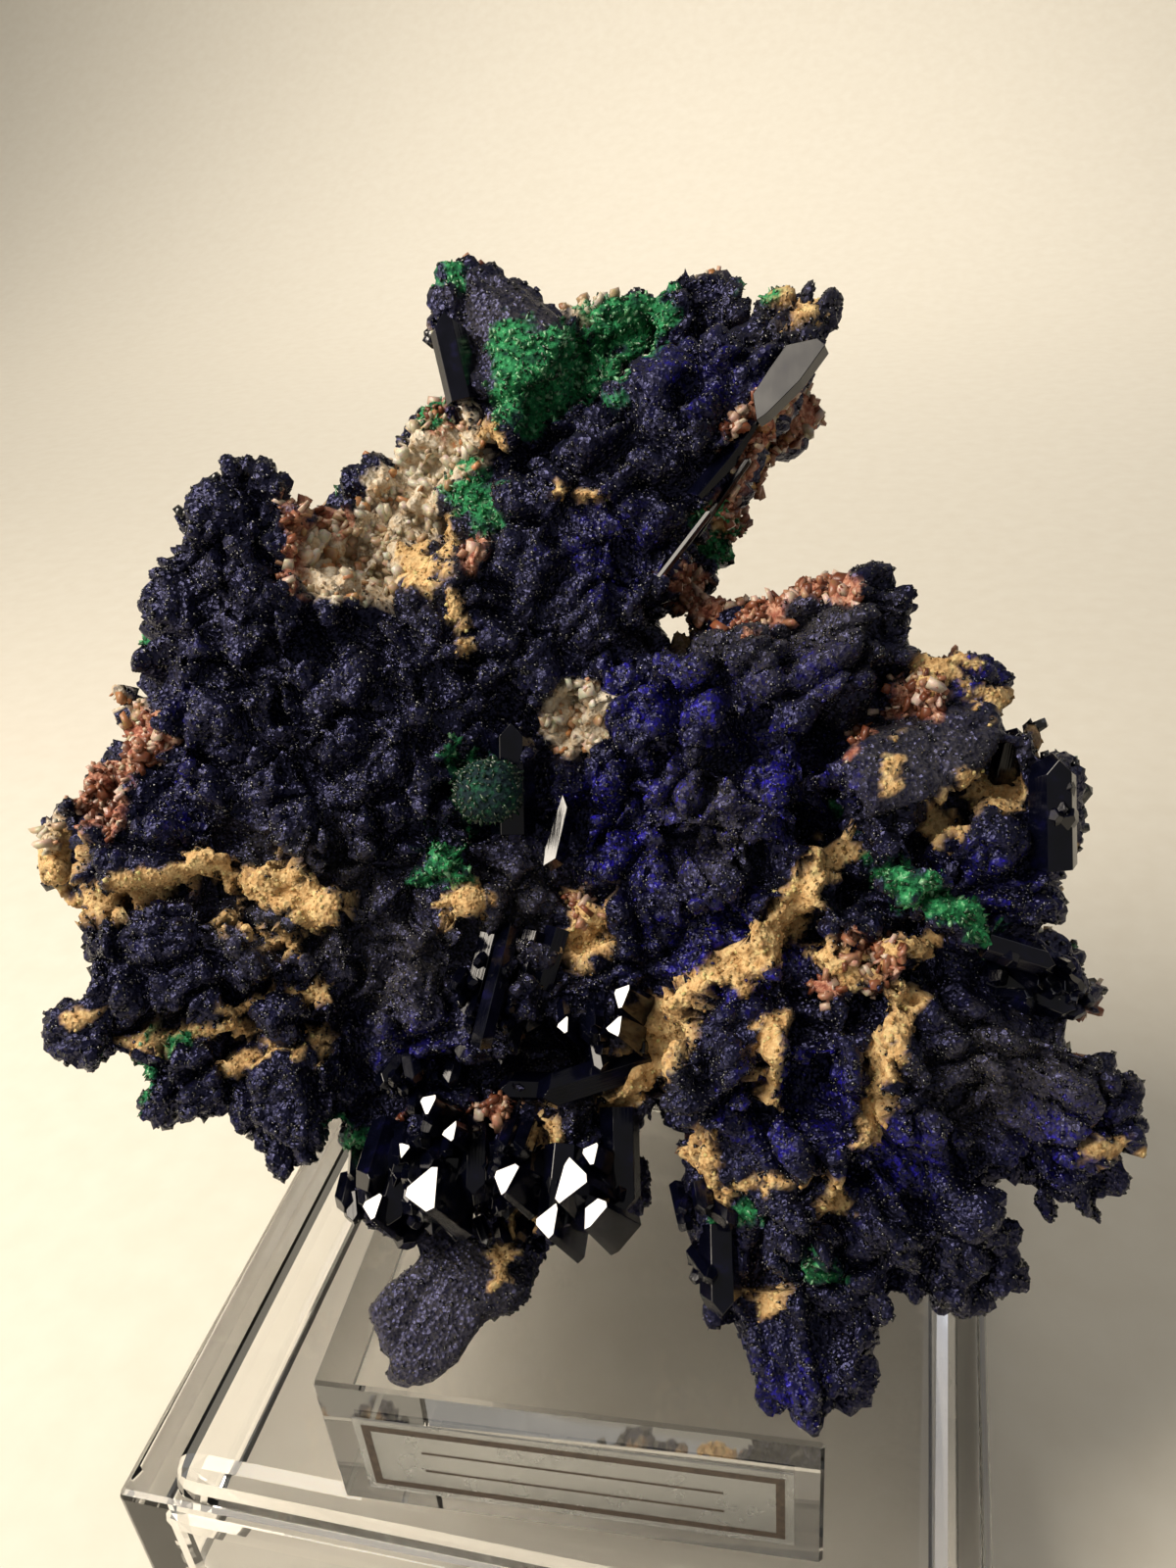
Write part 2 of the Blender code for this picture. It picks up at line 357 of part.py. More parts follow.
# Crystals on the side that faces away from the viewer, by rows: drop, left, right, number
# and how far out they end; then where they start, and the ranges of their width and scatter
BACK_ROWS = [
    (40, 56, 74, 3, -21),
    (51, 46, 70, 4, -28),
    (60, 28, 66, 6, -32),
    (69, 22, 64, 7, -34),
    (74, 66, 92, 4, -33),
    (78, 20, 60, 6, -34),
    (84, 62, 98, 5, -35),
    (87, 20, 60, 6, -33),
    (93, 62, 98, 5, -34),
    (96, 22, 56, 5, -30),
    (102, 66, 96, 4, -30),
    (108, 74, 92, 3, -24),
]
BACK_FOOT = -14.0
BACK_WIDTH = (7.5, 12.0)
BACK_THICKNESS = 0.8
BACK_SCATTER = (-3.0, 3.0)
BACK_LEAN = (-4.0, 4.0)
BACK_END_SCATTER = (-2.5, 2.5)


def turned(angle):
    """Cosine and sine of an angle in degrees."""
    radians = math.radians(angle)
    return math.cos(radians), math.sin(radians)


def view_axes():
    """Unit vectors to the right, down and ahead, as the viewer sees them."""
    cos_pitch, sin_pitch = turned(EYE_PITCH)
    cos_roll, sin_roll = turned(EYE_ROLL)
    cos_yaw, sin_yaw = turned(EYE_YAW)
    ahead = Vector((sin_yaw * cos_pitch, cos_yaw * cos_pitch, -sin_pitch))
    level = Vector((cos_yaw, -sin_yaw, 0.0))
    below = ahead.cross(level)
    return level * cos_roll + below * sin_roll, below * cos_roll - level * sin_roll, ahead


RIGHT, DOWN, AHEAD = view_axes()


def off_sheet(point):
    """Place of a sheet point (across, drop, out), in mm from the base's front left top corner."""
    across, drop, out = point
    flat = RIGHT * (across - SHEET_MIDDLE[0]) + DOWN * (drop - SHEET_MIDDLE[1]) + AHEAD * SHEET_DISTANCE
    return EYE + flat * (1.0 - out / SHEET_DISTANCE)


def hull(points):
    """Flat-faced convex solid round sheet points, as corner places and faces."""
    shell = bmesh.new()
    corners = [shell.verts.new(off_sheet(point) * MM) for point in points]
    made = bmesh.ops.convex_hull(shell, input=corners)
    loose = [item for item in made["geom_interior"] if isinstance(item, bmesh.types.BMVert)]
    bmesh.ops.delete(shell, geom=loose, context="VERTS")
    bmesh.ops.dissolve_limit(shell, angle_limit=math.radians(FLAT_WITHIN), verts=shell.verts,
                             edges=shell.edges)
    bmesh.ops.recalc_face_normals(shell, faces=shell.faces)
    shell.verts.index_update()
    places = [corner.co.copy() for corner in shell.verts]
    faces = [[corner.index for corner in face.verts] for face in shell.faces]
    shell.free()
    return places, faces


def slab(outline, front, back, bevel, lean=(0.0, 0.0)):
    """Chunk with a bevelled outline and a front face that may lean."""
    centre = sum((Vector(point) for point in outline), Vector((0.0, 0.0))) / len(outline)
    points = []
    for corner in outline:
        corner = Vector(corner)
        arm = corner - centre
        inner = corner - arm.normalized() * bevel
        rise = lean[0] * arm.x + lean[1] * arm.y
        points.append((inner.x, inner.y, front + rise))
        points.append((corner.x, corner.y, front + rise - bevel))
        narrow = corner - arm.normalized() * bevel * BACK_TAPER
        points.append((narrow.x, narrow.y, back + rise))
    return hull(points)


def prism(foot, tip, width, thickness, chance):
    """Six-sided crystal from foot to tip, which ends in a chisel edge."""
    foot = Vector(foot)
    tip = Vector(tip)
    along = (tip - foot).normalized()
    side = along.cross(Vector((0.0, 0.0, 1.0))).normalized()
    face = side.cross(along)
    shoulder = tip - along * width * chance.uniform(*CHISEL_LENGTH)
    turn = chance.uniform(*PRISM_TURN)
    taper = chance.uniform(*PRISM_TAPER)
    points = []
    for corner in range(HEXAGON):
        cosine, sine = turned(corner * 360.0 / HEXAGON + turn)
        spoke = side * cosine * width / 2 + face * sine * thickness / 2
        points.append(foot + spoke)
        points.append(shoulder + spoke * taper)
    edge = side * width * chance.uniform(*CHISEL_EDGE)
    edge += face * thickness * chance.uniform(*CHISEL_OFFSET)
    points.append(tip + edge)
    points.append(tip - edge)
    return hull(points)


def lump(middle, half_width, half_height, chance):
    """Blocky crystal lump: a turned block with its sides bulged to low peaks."""
    middle = Vector(middle)
    half_depth = (half_width + half_height) / 2
    turn = Matrix.Rotation(chance.uniform(0.0, math.pi), 3, "Z")
    tip_over = Matrix.Rotation(chance.uniform(*LUMP_TIP_OVER), 3, "X")
    points = []
    for x in (-1, 0, 1):
        for y in (-1, 0, 1):
            for z in (-1, 0, 1):
                reach = abs(x) + abs(y) + abs(z)
                if reach in (1, 3):
                    spoke = Vector((x, y, z)).normalized() * chance.uniform(*LUMP_CORNER)
                    spoke = turn @ tip_over @ spoke
                    points.append(middle + Vector((spoke.x * half_width, spoke.y * half_height,
                                                   spoke.z * half_depth)))
    return hull(points)


def back_crystals(chance):
    """Rough rows of short crystals that stand out of the side away from the viewer."""
    shells = []
    for drop, left, right, number, end in BACK_ROWS:
        for place in range(number):
            across = left + (right - left) * (place + chance.random()) / number
            width = chance.uniform(*BACK_WIDTH)
            start = drop + chance.uniform(*BACK_SCATTER)
            tip = (across + chance.uniform(*BACK_LEAN), start + chance.uniform(*BACK_LEAN),
                   end + chance.uniform(*BACK_END_SCATTER))
            foot = (across, start, BACK_FOOT)
            shells.append(prism(foot, tip, width, width * BACK_THICKNESS, chance))
    return shells


def solid_object(name, shells):
    """Object that holds all the given shells in one mesh."""
    places = []
    faces = []
    for shell_places, shell_faces in shells:
        start = len(places)
        places.extend(shell_places)
        faces.extend([corner + start for corner in face] for face in shell_faces)
    mesh = bpy.data.meshes.new(name)
    mesh.from_pydata(places, [], faces)
    made = bpy.data.objects.new(name, mesh)
    bpy.context.collection.objects.link(made)
    return made


def apply_modifier(target, modifier):
    """Replace the object's mesh with what its modifier gives, and drop the modifier."""
    graph = bpy.context.evaluated_depsgraph_get()
    result = bpy.data.meshes.new_from_object(target.evaluated_get(graph))
    target.modifiers.remove(modifier)
    target.data = result


def boolean(target, tool, operation):
    """Apply an exact Boolean of target with tool, and remove tool."""
    modifier = target.modifiers.new(operation.lower(), "BOOLEAN")
    modifier.operation = operation
    modifier.solver = "EXACT"
    modifier.use_self = True
    modifier.object = tool
    apply_modifier(target, modifier)
    bpy.data.objects.remove(tool)


def thin_out(target, triangles):
    """Collapse the slivers that the joins leave, down to a number of triangles."""
    modifier = target.modifiers.new("thin", "DECIMATE")
    modifier.ratio = min(1.0, triangles / len(target.data.polygons))
    modifier.use_collapse_triangulate = True
    apply_modifier(target, modifier)


def box_object(name, low, high):
    """Plain box between two corners, in mm."""
    mesh = bpy.data.meshes.new(name)
    block = bmesh.new()
    bmesh.ops.create_cube(block, size=1.0)
    size = Vector(high) - Vector(low)
    middle = (Vector(high) + Vector(low)) / 2
    bmesh.ops.scale(block, vec=size * MM, verts=block.verts)
    bmesh.ops.translate(block, vec=middle * MM, verts=block.verts)
    block.to_mesh(mesh)
    block.free()
    made = bpy.data.objects.new(name, mesh)
    bpy.context.collection.objects.link(made)
    return made


def islands(shape):
    """Groups of faces that hang together."""
    left = set(shape.faces)
    groups = []
    while left:
        group = {left.pop()}
        edge_of_group = list(group)
        while edge_of_group:
            face = edge_of_group.pop()
            near = {other for edge in face.edges for other in edge.link_faces if other in left}
            left -= near
            group |= near
            edge_of_group.extend(near)
        groups.append(group)
    return groups


def keep_main_body(target):
    """Drop sealed hollows and crumbs, so that the largest body is left alone."""
    shape = bmesh.new()
    shape.from_mesh(target.data)
    bmesh.ops.triangulate(shape, faces=shape.faces)
    groups = islands(shape)
    groups.sort(key=len)
    for group in groups[:-1]:
        bmesh.ops.delete(shape, geom=list(group), context="FACES")
    shape.to_mesh(target.data)
    shape.free()


def material(name):
    """Principled material with the piece's colour, roughness and opacity."""
    colour, roughness, alpha = COLOURS[name]
    made = bpy.data.materials.new(name)
    made.use_nodes = True
    shader = made.node_tree.nodes["Principled BSDF"]
    shader.inputs["Base Color"].default_value = colour
    shader.inputs["Roughness"].default_value = roughness
    shader.inputs["Metallic"].default_value = 0.0
    shader.inputs["Alpha"].default_value = alpha
    return made


def block_matrix():
    """Place of the block's front left bottom corner, and its turn."""
    turn = Matrix.Rotation(math.radians(BLOCK_TURN), 4, "Z")
    return Matrix.Translation(Vector((*BLOCK_CORNER, GAP)) * MM) @ turn


def azurite_cluster():
    """The specimen: cores, matrix and crystals grown into one solid, resting on the block."""
    chance = random.Random(SEED)
    cores = [slab(*row) for row in CORES]
    crystals = [slab(*row) for row in MATRIX + SLABS]
    crystals += [prism(*row, chance) for row in PRISMS]
    crystals += [lump(*row, chance) for row in LUMPS]
    crystals += back_crystals(chance)
    cluster = solid_object("azurite_cluster", cores[:1])
    boolean(cluster, solid_object("crystals", cores[1:] + crystals), "UNION")
    near = -CUTTER_ROOM
    far = BASE_SIDE + CUTTER_ROOM
    cutter = box_object("rest_cutter", (near, near, near), (far, far, BLOCK_HEIGHT + 2 * GAP))
    boolean(cluster, cutter, "DIFFERENCE")
    keep_main_body(cluster)
    thin_out(cluster, CLUSTER_TRIANGLES)
    return cluster


def display_block():
    """Clear block with fine chamfers."""
    block = box_object("display_block", (0, 0, 0), (BLOCK_SIDE, BLOCK_SIDE, BLOCK_HEIGHT))
    chamfer = block.modifiers.new("edges", "BEVEL")
    chamfer.width = BLOCK_EDGE * MM
    chamfer.segments = 1
    block.data.transform(block_matrix())
    return block


def display_base():
    """Clear tray, open underneath, with rounded inner corners."""
    base = box_object("display_base", (0, 0, -BASE_HEIGHT), (BASE_SIDE, BASE_SIDE, 0))
    edges = base.modifiers.new("edges", "BEVEL")
    edges.width = BASE_EDGE * MM
    edges.segments = BASE_EDGE_STEPS
    low = (BASE_WALL, BASE_WALL, -BASE_HEIGHT - BASE_WALL)
    high = (BASE_SIDE - BASE_WALL, BASE_SIDE - BASE_WALL, -BASE_WALL)
    hollow = box_object("tray_cutter", low, high)
    corners = hollow.modifiers.new("corners", "BEVEL")
    corners.width = BASE_INNER_RADIUS * MM
    corners.segments = BASE_INNER_STEPS
    hollow.hide_render = True
    hollow.display_type = "WIRE"
    cut = base.modifiers.new("hollow", "BOOLEAN")
    cut.operation = "DIFFERENCE"
    cut.solver = "EXACT"
    cut.object = hollow
    return base, hollow


def label():
    """Thin film in front of the block's front face."""
    front = -GAP - LABEL_THICKNESS
    low = (LABEL_START, front, LABEL_LOW)
    high = (LABEL_START + LABEL_WIDTH, -GAP, LABEL_LOW + LABEL_HEIGHT)
    film = box_object("label", low, high)
    film.data.transform(block_matrix())
    return film


def main():
    """Build every piece and stand the object on the ground, middle on the origin."""
    for old in list(bpy.data.objects):
        bpy.data.objects.remove(old)
    base, hollow = display_base()
    pieces = [azurite_cluster(), display_block(), base, label()]
    corners = [corner.co for piece in pieces for corner in piece.data.vertices]
    low = Vector([min(corner[axis] for corner in corners) for axis in range(3)])
    high = Vector([max(corner[axis] for corner in corners) for axis in range(3)])
    shift = Matrix.Translation(Vector((-(low.x + high.x) / 2, -(low.y + high.y) / 2, -low.z)))
    for piece in pieces + [hollow]:
        piece.data.transform(shift)
    for piece in pieces:
        piece.data.materials.clear()
        piece.data.materials.append(material(piece.name))


main()
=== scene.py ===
"""Looks of an azurite specimen that leans on a clear block, which stands on a clear base.

The specimen's solid is remeshed finely, knobbed as drusy crystals are, and planted with small
crystals and grains. Larger polished crystals, the clear stand, its label, the light and the
camera follow. Lengths are in mm unless said otherwise; the frame itself is in metres.
"""
import math

import bmesh
import bpy
import numpy as np
from mathutils import Matrix, Vector, noise
from mathutils.bvhtree import BVHTree


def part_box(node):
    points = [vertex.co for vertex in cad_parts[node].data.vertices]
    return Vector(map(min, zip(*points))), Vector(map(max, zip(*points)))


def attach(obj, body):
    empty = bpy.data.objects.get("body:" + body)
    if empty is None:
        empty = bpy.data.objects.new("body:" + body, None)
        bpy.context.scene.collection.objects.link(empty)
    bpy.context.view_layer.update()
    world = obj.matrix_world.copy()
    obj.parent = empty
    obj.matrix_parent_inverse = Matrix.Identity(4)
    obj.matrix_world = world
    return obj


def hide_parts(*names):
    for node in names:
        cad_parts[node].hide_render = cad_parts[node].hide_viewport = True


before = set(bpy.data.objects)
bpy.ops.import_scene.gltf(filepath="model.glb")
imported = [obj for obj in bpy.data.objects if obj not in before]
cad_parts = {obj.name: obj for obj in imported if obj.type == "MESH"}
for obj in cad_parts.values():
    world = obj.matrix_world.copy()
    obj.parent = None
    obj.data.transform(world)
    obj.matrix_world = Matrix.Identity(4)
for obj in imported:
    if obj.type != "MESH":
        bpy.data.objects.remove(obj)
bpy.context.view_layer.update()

MM = 0.001
PER_MM = 1000.0
RANDOM = np.random.default_rng(17)

# The sheet that the specimen is laid out on, facing the viewer: across runs right and drop
# down from its top left corner, and out runs towards the eye (see off_sheet)
EYE = Vector((79.35, -64.32, 132.33))
EYE_PITCH = 30.31
EYE_ROLL = 5.37
EYE_YAW = -16.2
SHEET_MIDDLE = (60.0, 80.0)
SHEET_DISTANCE = 131.0

# Camera, as a full-frame body would have it (36 mm is the long side of the image)
SENSOR = 36.0
FOCAL_LENGTH = 29.48

# Block and label, from the base's front left top corner
GAP = 0.3
BLOCK_CORNER = (25.2, 4.35)
BLOCK_TURN = 2.96
LABEL_START = 3.65
LABEL_LOW = 3.55
LABEL_WIDTH = 43.6
LABEL_HEIGHT = 11.6
LABEL_THICKNESS = 0.2
# Print: margin around the border, its line, and two rules with their line, indent and height
PRINT_MARGIN = 0.85
PRINT_THICKNESS = 0.03
BORDER_LINE = 0.85
RULE_LINE = 0.3
RULE_INDENT = 0.14
RULE_RISES = (3.2, 6.2)

# Lights in metres: place, side and strength in watts
KEY_PLACE = Vector((-0.24, -0.14, 0.41))
KEY_SIDE = 0.26
KEY_POWER = 2.45
LOW_PLACE = Vector((-0.42, -0.2, 0.24))
LOW_SIDE = 0.35
LOW_POWER = 0.72
FILL_PLACE = Vector((0.5, 0.45, 0.5))
FILL_SIDE = 0.4
FILL_POWER = 0.3
BACKDROP_LIGHT_PLACE = Vector((-0.18, 0.75, 1.0))
BACKDROP_LIGHT_SIDE = 0.8
BACKDROP_LIGHT_SPREAD = 85.0
BACKDROP_POWER = 2.9
SKY_STRENGTH = 0.24

# Floor that sweeps up behind, in metres
SWEEP_FRONT = -1.6
SWEEP_BACK = 1.1
SWEEP_RADIUS = 0.5
SWEEP_TOP = 1.8
SWEEP_WIDTH = 5.0
SWEEP_STEPS = 16

# The specimen's surface: width of its mesh's faces, rounds of rounding, and how far crusts stand out
FINENESS = 0.53
ROUNDING = 3
CRUST_HEIGHT = 0.35
# Width of the crevice between two growths, and how deep crevices may go into thin places: up to
# this share of the thickness, which is looked for up to a limit
BORDER = 2.4
DEEPEST_SHARE = 0.35
THICKEST = 8.0
# Grains of the crusts, and the finest unevenness of the azurite
GRAIN_SIZE = 0.75
GRAIN_HEIGHT = 0.3
FINE_SIZE = 0.9
FINE_ROUGHNESS = 0.12
# How far around a polished crystal the rock gives way, and how deep
CLEARANCE = 3.0
CRYSTAL_ROOM = 1.3
# How deep polished crystals are set in, the break of their edges, and how the flashing ones widen
BURIED = 2.0
EDGE_BREAK = 0.05
FLARE = 1.4
# Depth behind the first thing in sight: still seen, surely behind, and where the far side begins
SEEN_WITHIN = 2.5
BEHIND_FROM = 7.0
FAR_FROM = 6.0
FAR_BLEND = 3.0
# Nothing is planted this close to the specimen's lowest point
GROUND_CLEARANCE = 1.0
PIECE_FACES = 95000

# Which way the azurite grew: middle on the sheet, growth (right, down, towards the eye), and how
# drawn out its crystals are
GROWTHS = [
    ((50.0, 33.0), (-0.55, -0.8, 0.2), 2.0), ((71.8, 30.5), (0.15, -0.9, 0.3), 1.2),
    ((56.0, 57.0), (0.66, -0.7, 0.25), 1.0), ((66.0, 47.0), (0.66, -0.7, 0.25), 1.0),
    ((77.0, 36.0), (0.66, -0.7, 0.25), 1.3), ((46.0, 66.0), (0.6, -0.6, 0.5), 0.8),
    ((23.0, 52.0), (0.15, -0.9, 0.3), 1.0), ((22.0, 62.0), (-0.2, -0.9, 0.4), 1.0),
    ((24.0, 73.0), (-0.5, -0.4, 0.75), 0.8), ((34.0, 68.0), (0.2, -0.8, 0.5), 0.8),
    ((36.0, 80.0), (0.5, -0.5, 0.7), 0.8), ((27.0, 82.0), (-0.1, -0.5, 0.8), 0.8),
    ((13.0, 86.0), (-0.85, 0.1, 0.45), 0.9), ((15.0, 97.0), (-0.9, 0.15, 0.4), 0.9),
    ((8.0, 105.0), (-0.6, 0.7, 0.3), 1.0), ((18.0, 110.0), (-0.5, 0.7, 0.4), 1.0),
    ((28.0, 113.0), (0.1, 0.95, 0.3), 1.2), ((30.0, 96.0), (-0.3, 0.3, 0.9), 0.8),
    ((41.0, 99.0), (0.2, -0.5, 0.8), 0.8), ((50.0, 92.0), (0.5, -0.6, 0.6), 0.8),
    ((66.0, 76.0), (0.5, -0.3, 0.8), 0.8), ((76.0, 86.0), (0.7, -0.1, 0.7), 0.9),
    ((66.0, 92.0), (0.0, 0.5, 0.85), 0.8), ((80.0, 64.0), (0.88, -0.35, 0.3), 1.6),
    ((94.0, 76.0), (0.93, -0.05, 0.35), 1.6), ((105.0, 82.0), (0.35, -0.9, 0.25), 1.6),
    ((84.0, 92.0), (0.8, 0.2, 0.55), 1.2), ((105.0, 98.0), (0.93, 0.35, 0.1), 2.0),
    ((76.0, 108.0), (0.35, 0.6, 0.7), 1.0), ((90.0, 106.0), (0.6, 0.5, 0.6), 1.8),
    ((104.0, 112.0), (0.8, 0.55, 0.3), 2.6), ((92.0, 120.0), (0.72, 0.62, 0.35), 2.6),
    ((112.0, 120.0), (0.6, 0.75, 0.25), 2.2), ((78.0, 122.0), (0.35, 0.8, 0.5), 2.0),
    ((81.0, 138.0), (0.25, 0.95, 0.15), 1.6), ((45.0, 132.0), (-0.5, 0.85, 0.1), 2.0),
    ((50.0, 118.0), (0.0, 0.5, 0.85), 0.8),
]
# Sizes of the stacked crystals: across and along their growth, how far they step out, and how
# much of each is rounded off towards the crevices around it
BLOCKS = [(6.4, 9.0, 2.3, 0.28), (2.8, 3.6, 0.9, 0.26), (1.3, 1.7, 0.24, 0.3)]

# Patches on the side that faces the viewer: across and drop on the sheet, half width, half height
MALACHITE = [
    (53.6, 38.6, 3.6, 5.4), (57.2, 37.4, 4.2, 4.4), (60.4, 37.6, 3.0, 2.6), (63.6, 32.6, 4.4, 3.2),
    (66.4, 32.2, 2.4, 3.2), (52.2, 34.2, 2.2, 2.0), (77.4, 29.3, 1.3, 0.9), (43.6, 41.6, 2.0, 2.0),
    (48.2, 50.2, 2.4, 3.2), (46.0, 26.8, 1.6, 1.6), (74.4, 55.0, 2.4, 3.4), (50.3, 80.6, 3.6, 3.6),
    (46.8, 77.0, 1.0, 0.9), (45.6, 88.2, 2.5, 2.4), (74.2, 124.8, 1.8, 0.9), (83.2, 130.4, 1.4, 0.9),
    (14.0, 110.4, 0.7, 1.2), (35.4, 117.4, 1.8, 2.0), (18.0, 106.2, 1.2, 0.6),
]
OCHRE = [
    (21.6, 88.6, 3.0, 1.9), (27.6, 90.4, 3.6, 2.4), (31.6, 92.4, 3.2, 2.6), (47.4, 91.8, 2.2, 1.6),
    (59.8, 94.6, 2.2, 3.2), (65.8, 108.4, 2.8, 2.8), (86.4, 99.0, 2.0, 1.4), (92.8, 101.8, 1.5, 1.4),
    (78.4, 106.0, 2.0, 1.6), (71.4, 117.4, 1.4, 1.0), (85.4, 122.4, 1.4, 1.4), (113.0, 117.2, 1.9, 0.8),
    (78.4, 132.8, 1.0, 1.4), (82.8, 31.6, 1.1, 0.8), (79.8, 30.2, 1.0, 0.6), (96.0, 68.4, 2.6, 1.8),
    (101.6, 71.2, 1.8, 1.6), (101.2, 80.6, 3.0, 1.9), (96.0, 84.0, 1.6, 1.6), (90.8, 78.0, 0.8, 1.8),
    (62.0, 120.0, 1.0, 1.4), (42.4, 57.6, 2.0, 2.2), (50.0, 44.0, 1.4, 1.2), (54.4, 36.6, 1.0, 0.8),
    (6.0, 88.0, 1.8, 2.8), (8.3, 103.8, 1.4, 0.8), (58.6, 50.2, 1.2, 0.7),
]
PALE = [
    (45.2, 46.0, 5.0, 3.8), (41.2, 51.0, 3.8, 4.6), (37.0, 56.4, 5.4, 4.4), (33.2, 57.4, 3.0, 3.8),
    (43.4, 38.6, 1.3, 2.4), (59.4, 30.6, 2.6, 1.6), (58.6, 73.2, 3.0, 3.4), (4.8, 85.6, 1.6, 2.4),
    (102.0, 71.4, 1.6, 1.2), (80.4, 42.6, 2.2, 2.2), (13.0, 73.2, 1.4, 2.8), (100.6, 80.2, 1.4, 1.0),
]
RUST = [
    (79.6, 43.0, 4.4, 3.8), (77.4, 48.0, 2.6, 4.4), (75.0, 52.6, 1.8, 2.6), (70.8, 59.6, 2.0, 1.8),
    (75.2, 62.2, 4.8, 1.6), (83.4, 59.6, 4.2, 1.8), (44.6, 42.8, 1.8, 1.6), (34.2, 53.4, 2.2, 1.8),
    (13.8, 75.4, 2.2, 3.2), (10.4, 80.8, 2.6, 4.0), (94.2, 70.2, 2.6, 2.0), (51.4, 113.0, 3.0, 1.6),
    (39.2, 117.2, 1.2, 2.6), (59.6, 93.0, 1.4, 1.8), (90.0, 97.6, 3.0, 2.0), (84.4, 100.8, 1.6, 1.2),
    (48.2, 56.0, 1.0, 1.6), (30.4, 55.4, 1.0, 4.6),
]
DUST = [
    (80.0, 64.0, 11.0, 5.0), (95.0, 77.0, 9.0, 5.4), (52.6, 93.0, 4.4, 5.4), (45.0, 134.0, 9.0, 10.0),
    (52.0, 33.0, 6.0, 6.0), (81.6, 30.8, 4.6, 2.6), (30.0, 92.0, 8.0, 6.0), (44.0, 52.0, 4.0, 8.0),
    (60.0, 110.0, 7.0, 3.6), (104.0, 110.0, 9.0, 6.0), (41.0, 98.0, 5.0, 5.0), (72.0, 84.0, 5.0, 5.0),
]
# Brighter blue patches: the azurite's own blue, painted brighter as light shining through it
VIVID_LIT_THROUGH = [
    (68.0, 71.0, 9.0, 4.5), (66.0, 84.0, 9.0, 7.0), (80.0, 80.0, 7.0, 7.0), (74.0, 97.0, 8.0, 6.0),
    (81.0, 112.0, 7.0, 6.0), (101.0, 90.0, 6.0, 4.0), (72.0, 38.0, 6.0, 3.0), (42.4, 107.0, 4.0, 3.0),
    (83.0, 68.4, 4.0, 2.4), (99.0, 68.6, 4.6, 3.0), (18.3, 79.0, 1.2, 5.0), (62.0, 56.0, 5.0, 5.0),
    (108.0, 116.0, 6.0, 5.0), (80.0, 142.0, 5.0, 4.0), (92.0, 118.0, 6.0, 5.0),
]
# Rounded knob of malachite
BALL_RADIUS = 3.5
BALL = [(50.3, 80.6, BALL_RADIUS, BALL_RADIUS)]
BALL_HEIGHT = 1.7
# Where the rock stays smooth and full, on clean crystals and thin rims: no crevices, little druse
SMOOTH = [
    (94.5, 77.5, 9.0, 5.0), (108.0, 82.4, 3.2, 6.6), (105.6, 99.6, 7.6, 4.8), (73.4, 130.4, 3.0, 6.0),
    (45.0, 134.0, 7.4, 9.0), (52.4, 34.0, 5.6, 6.0), (66.0, 36.8, 4.0, 3.2), (102.6, 75.8, 3.6, 4.4),
]
# Crusts that follow the joints between crystals: across, drop, half width along each
OCHRE_SEAMS = [
    [(85.8, 86.8, 1.2), (83.2, 89.4, 1.5), (81.2, 92.4, 1.6), (78.6, 95.6, 2.2), (75.4, 98.6, 2.0),
     (72.6, 98.8, 0.9), (69.4, 102.0, 1.4), (67.6, 105.6, 2.2), (65.2, 109.4, 2.4),
     (63.2, 113.0, 1.0)],
    [(8.2, 92.4, 0.9), (12.6, 90.8, 1.2), (17.4, 89.6, 1.3), (21.0, 87.8, 1.8)],
    [(55.4, 115.4, 1.0), (54.8, 118.6, 1.2), (53.4, 122.4, 1.0), (51.8, 127.0, 0.7),
     (50.6, 131.0, 0.6)],
    [(92.6, 103.6, 0.8), (90.4, 106.4, 1.4), (89.4, 111.0, 0.9), (88.6, 116.6, 0.6)],
    [(76.6, 104.8, 0.7), (79.6, 105.0, 1.2), (78.6, 109.4, 0.8), (79.0, 112.4, 0.4)],
    [(83.6, 97.4, 0.9), (86.6, 99.4, 0.8), (90.6, 97.0, 0.9), (94.6, 96.4, 1.1)],
    [(23.0, 93.2, 0.3), (26.4, 95.2, 0.4), (30.0, 96.6, 0.4)],
    [(24.0, 103.2, 0.5), (28.0, 101.6, 0.5), (33.0, 101.0, 0.5)],
    [(14.0, 106.6, 0.5), (19.0, 105.4, 0.6), (25.0, 104.6, 0.6)],
    [(23.6, 108.4, 0.6), (28.0, 107.0, 0.6), (33.4, 106.6, 0.5)],
    [(71.6, 118.2, 1.0), (72.8, 123.6, 0.5), (76.0, 120.4, 0.6), (81.6, 120.2, 0.7)],
    [(46.0, 52.4, 0.4), (45.4, 58.0, 0.5), (47.4, 66.0, 0.3)],
]
MALACHITE_SEAMS = [
    [(89.4, 89.2, 1.2), (93.6, 90.6, 1.8), (98.4, 93.0, 2.0), (102.4, 97.4, 1.4)],
]
RUST_SEAMS = [
    [(89.4, 72.6, 0.3), (87.8, 75.6, 0.4), (86.6, 77.4, 0.3)],
    [(90.4, 73.0, 0.3), (92.6, 71.4, 1.0), (95.2, 71.8, 1.0)],
]


def turned(angle):
    """Cosine and sine of an angle in degrees."""
    radians = math.radians(angle)
    return math.cos(radians), math.sin(radians)


def view_axes():
    """Unit vectors to the right, down and ahead, as the viewer sees them."""
    cos_pitch, sin_pitch = turned(EYE_PITCH)
    cos_roll, sin_roll = turned(EYE_ROLL)
    cos_yaw, sin_yaw = turned(EYE_YAW)
    ahead = Vector((sin_yaw * cos_pitch, cos_yaw * cos_pitch, -sin_pitch))
    level = Vector((cos_yaw, -sin_yaw, 0.0))
    below = ahead.cross(level)
    return level * cos_roll + below * sin_roll, below * cos_roll - level * sin_roll, ahead


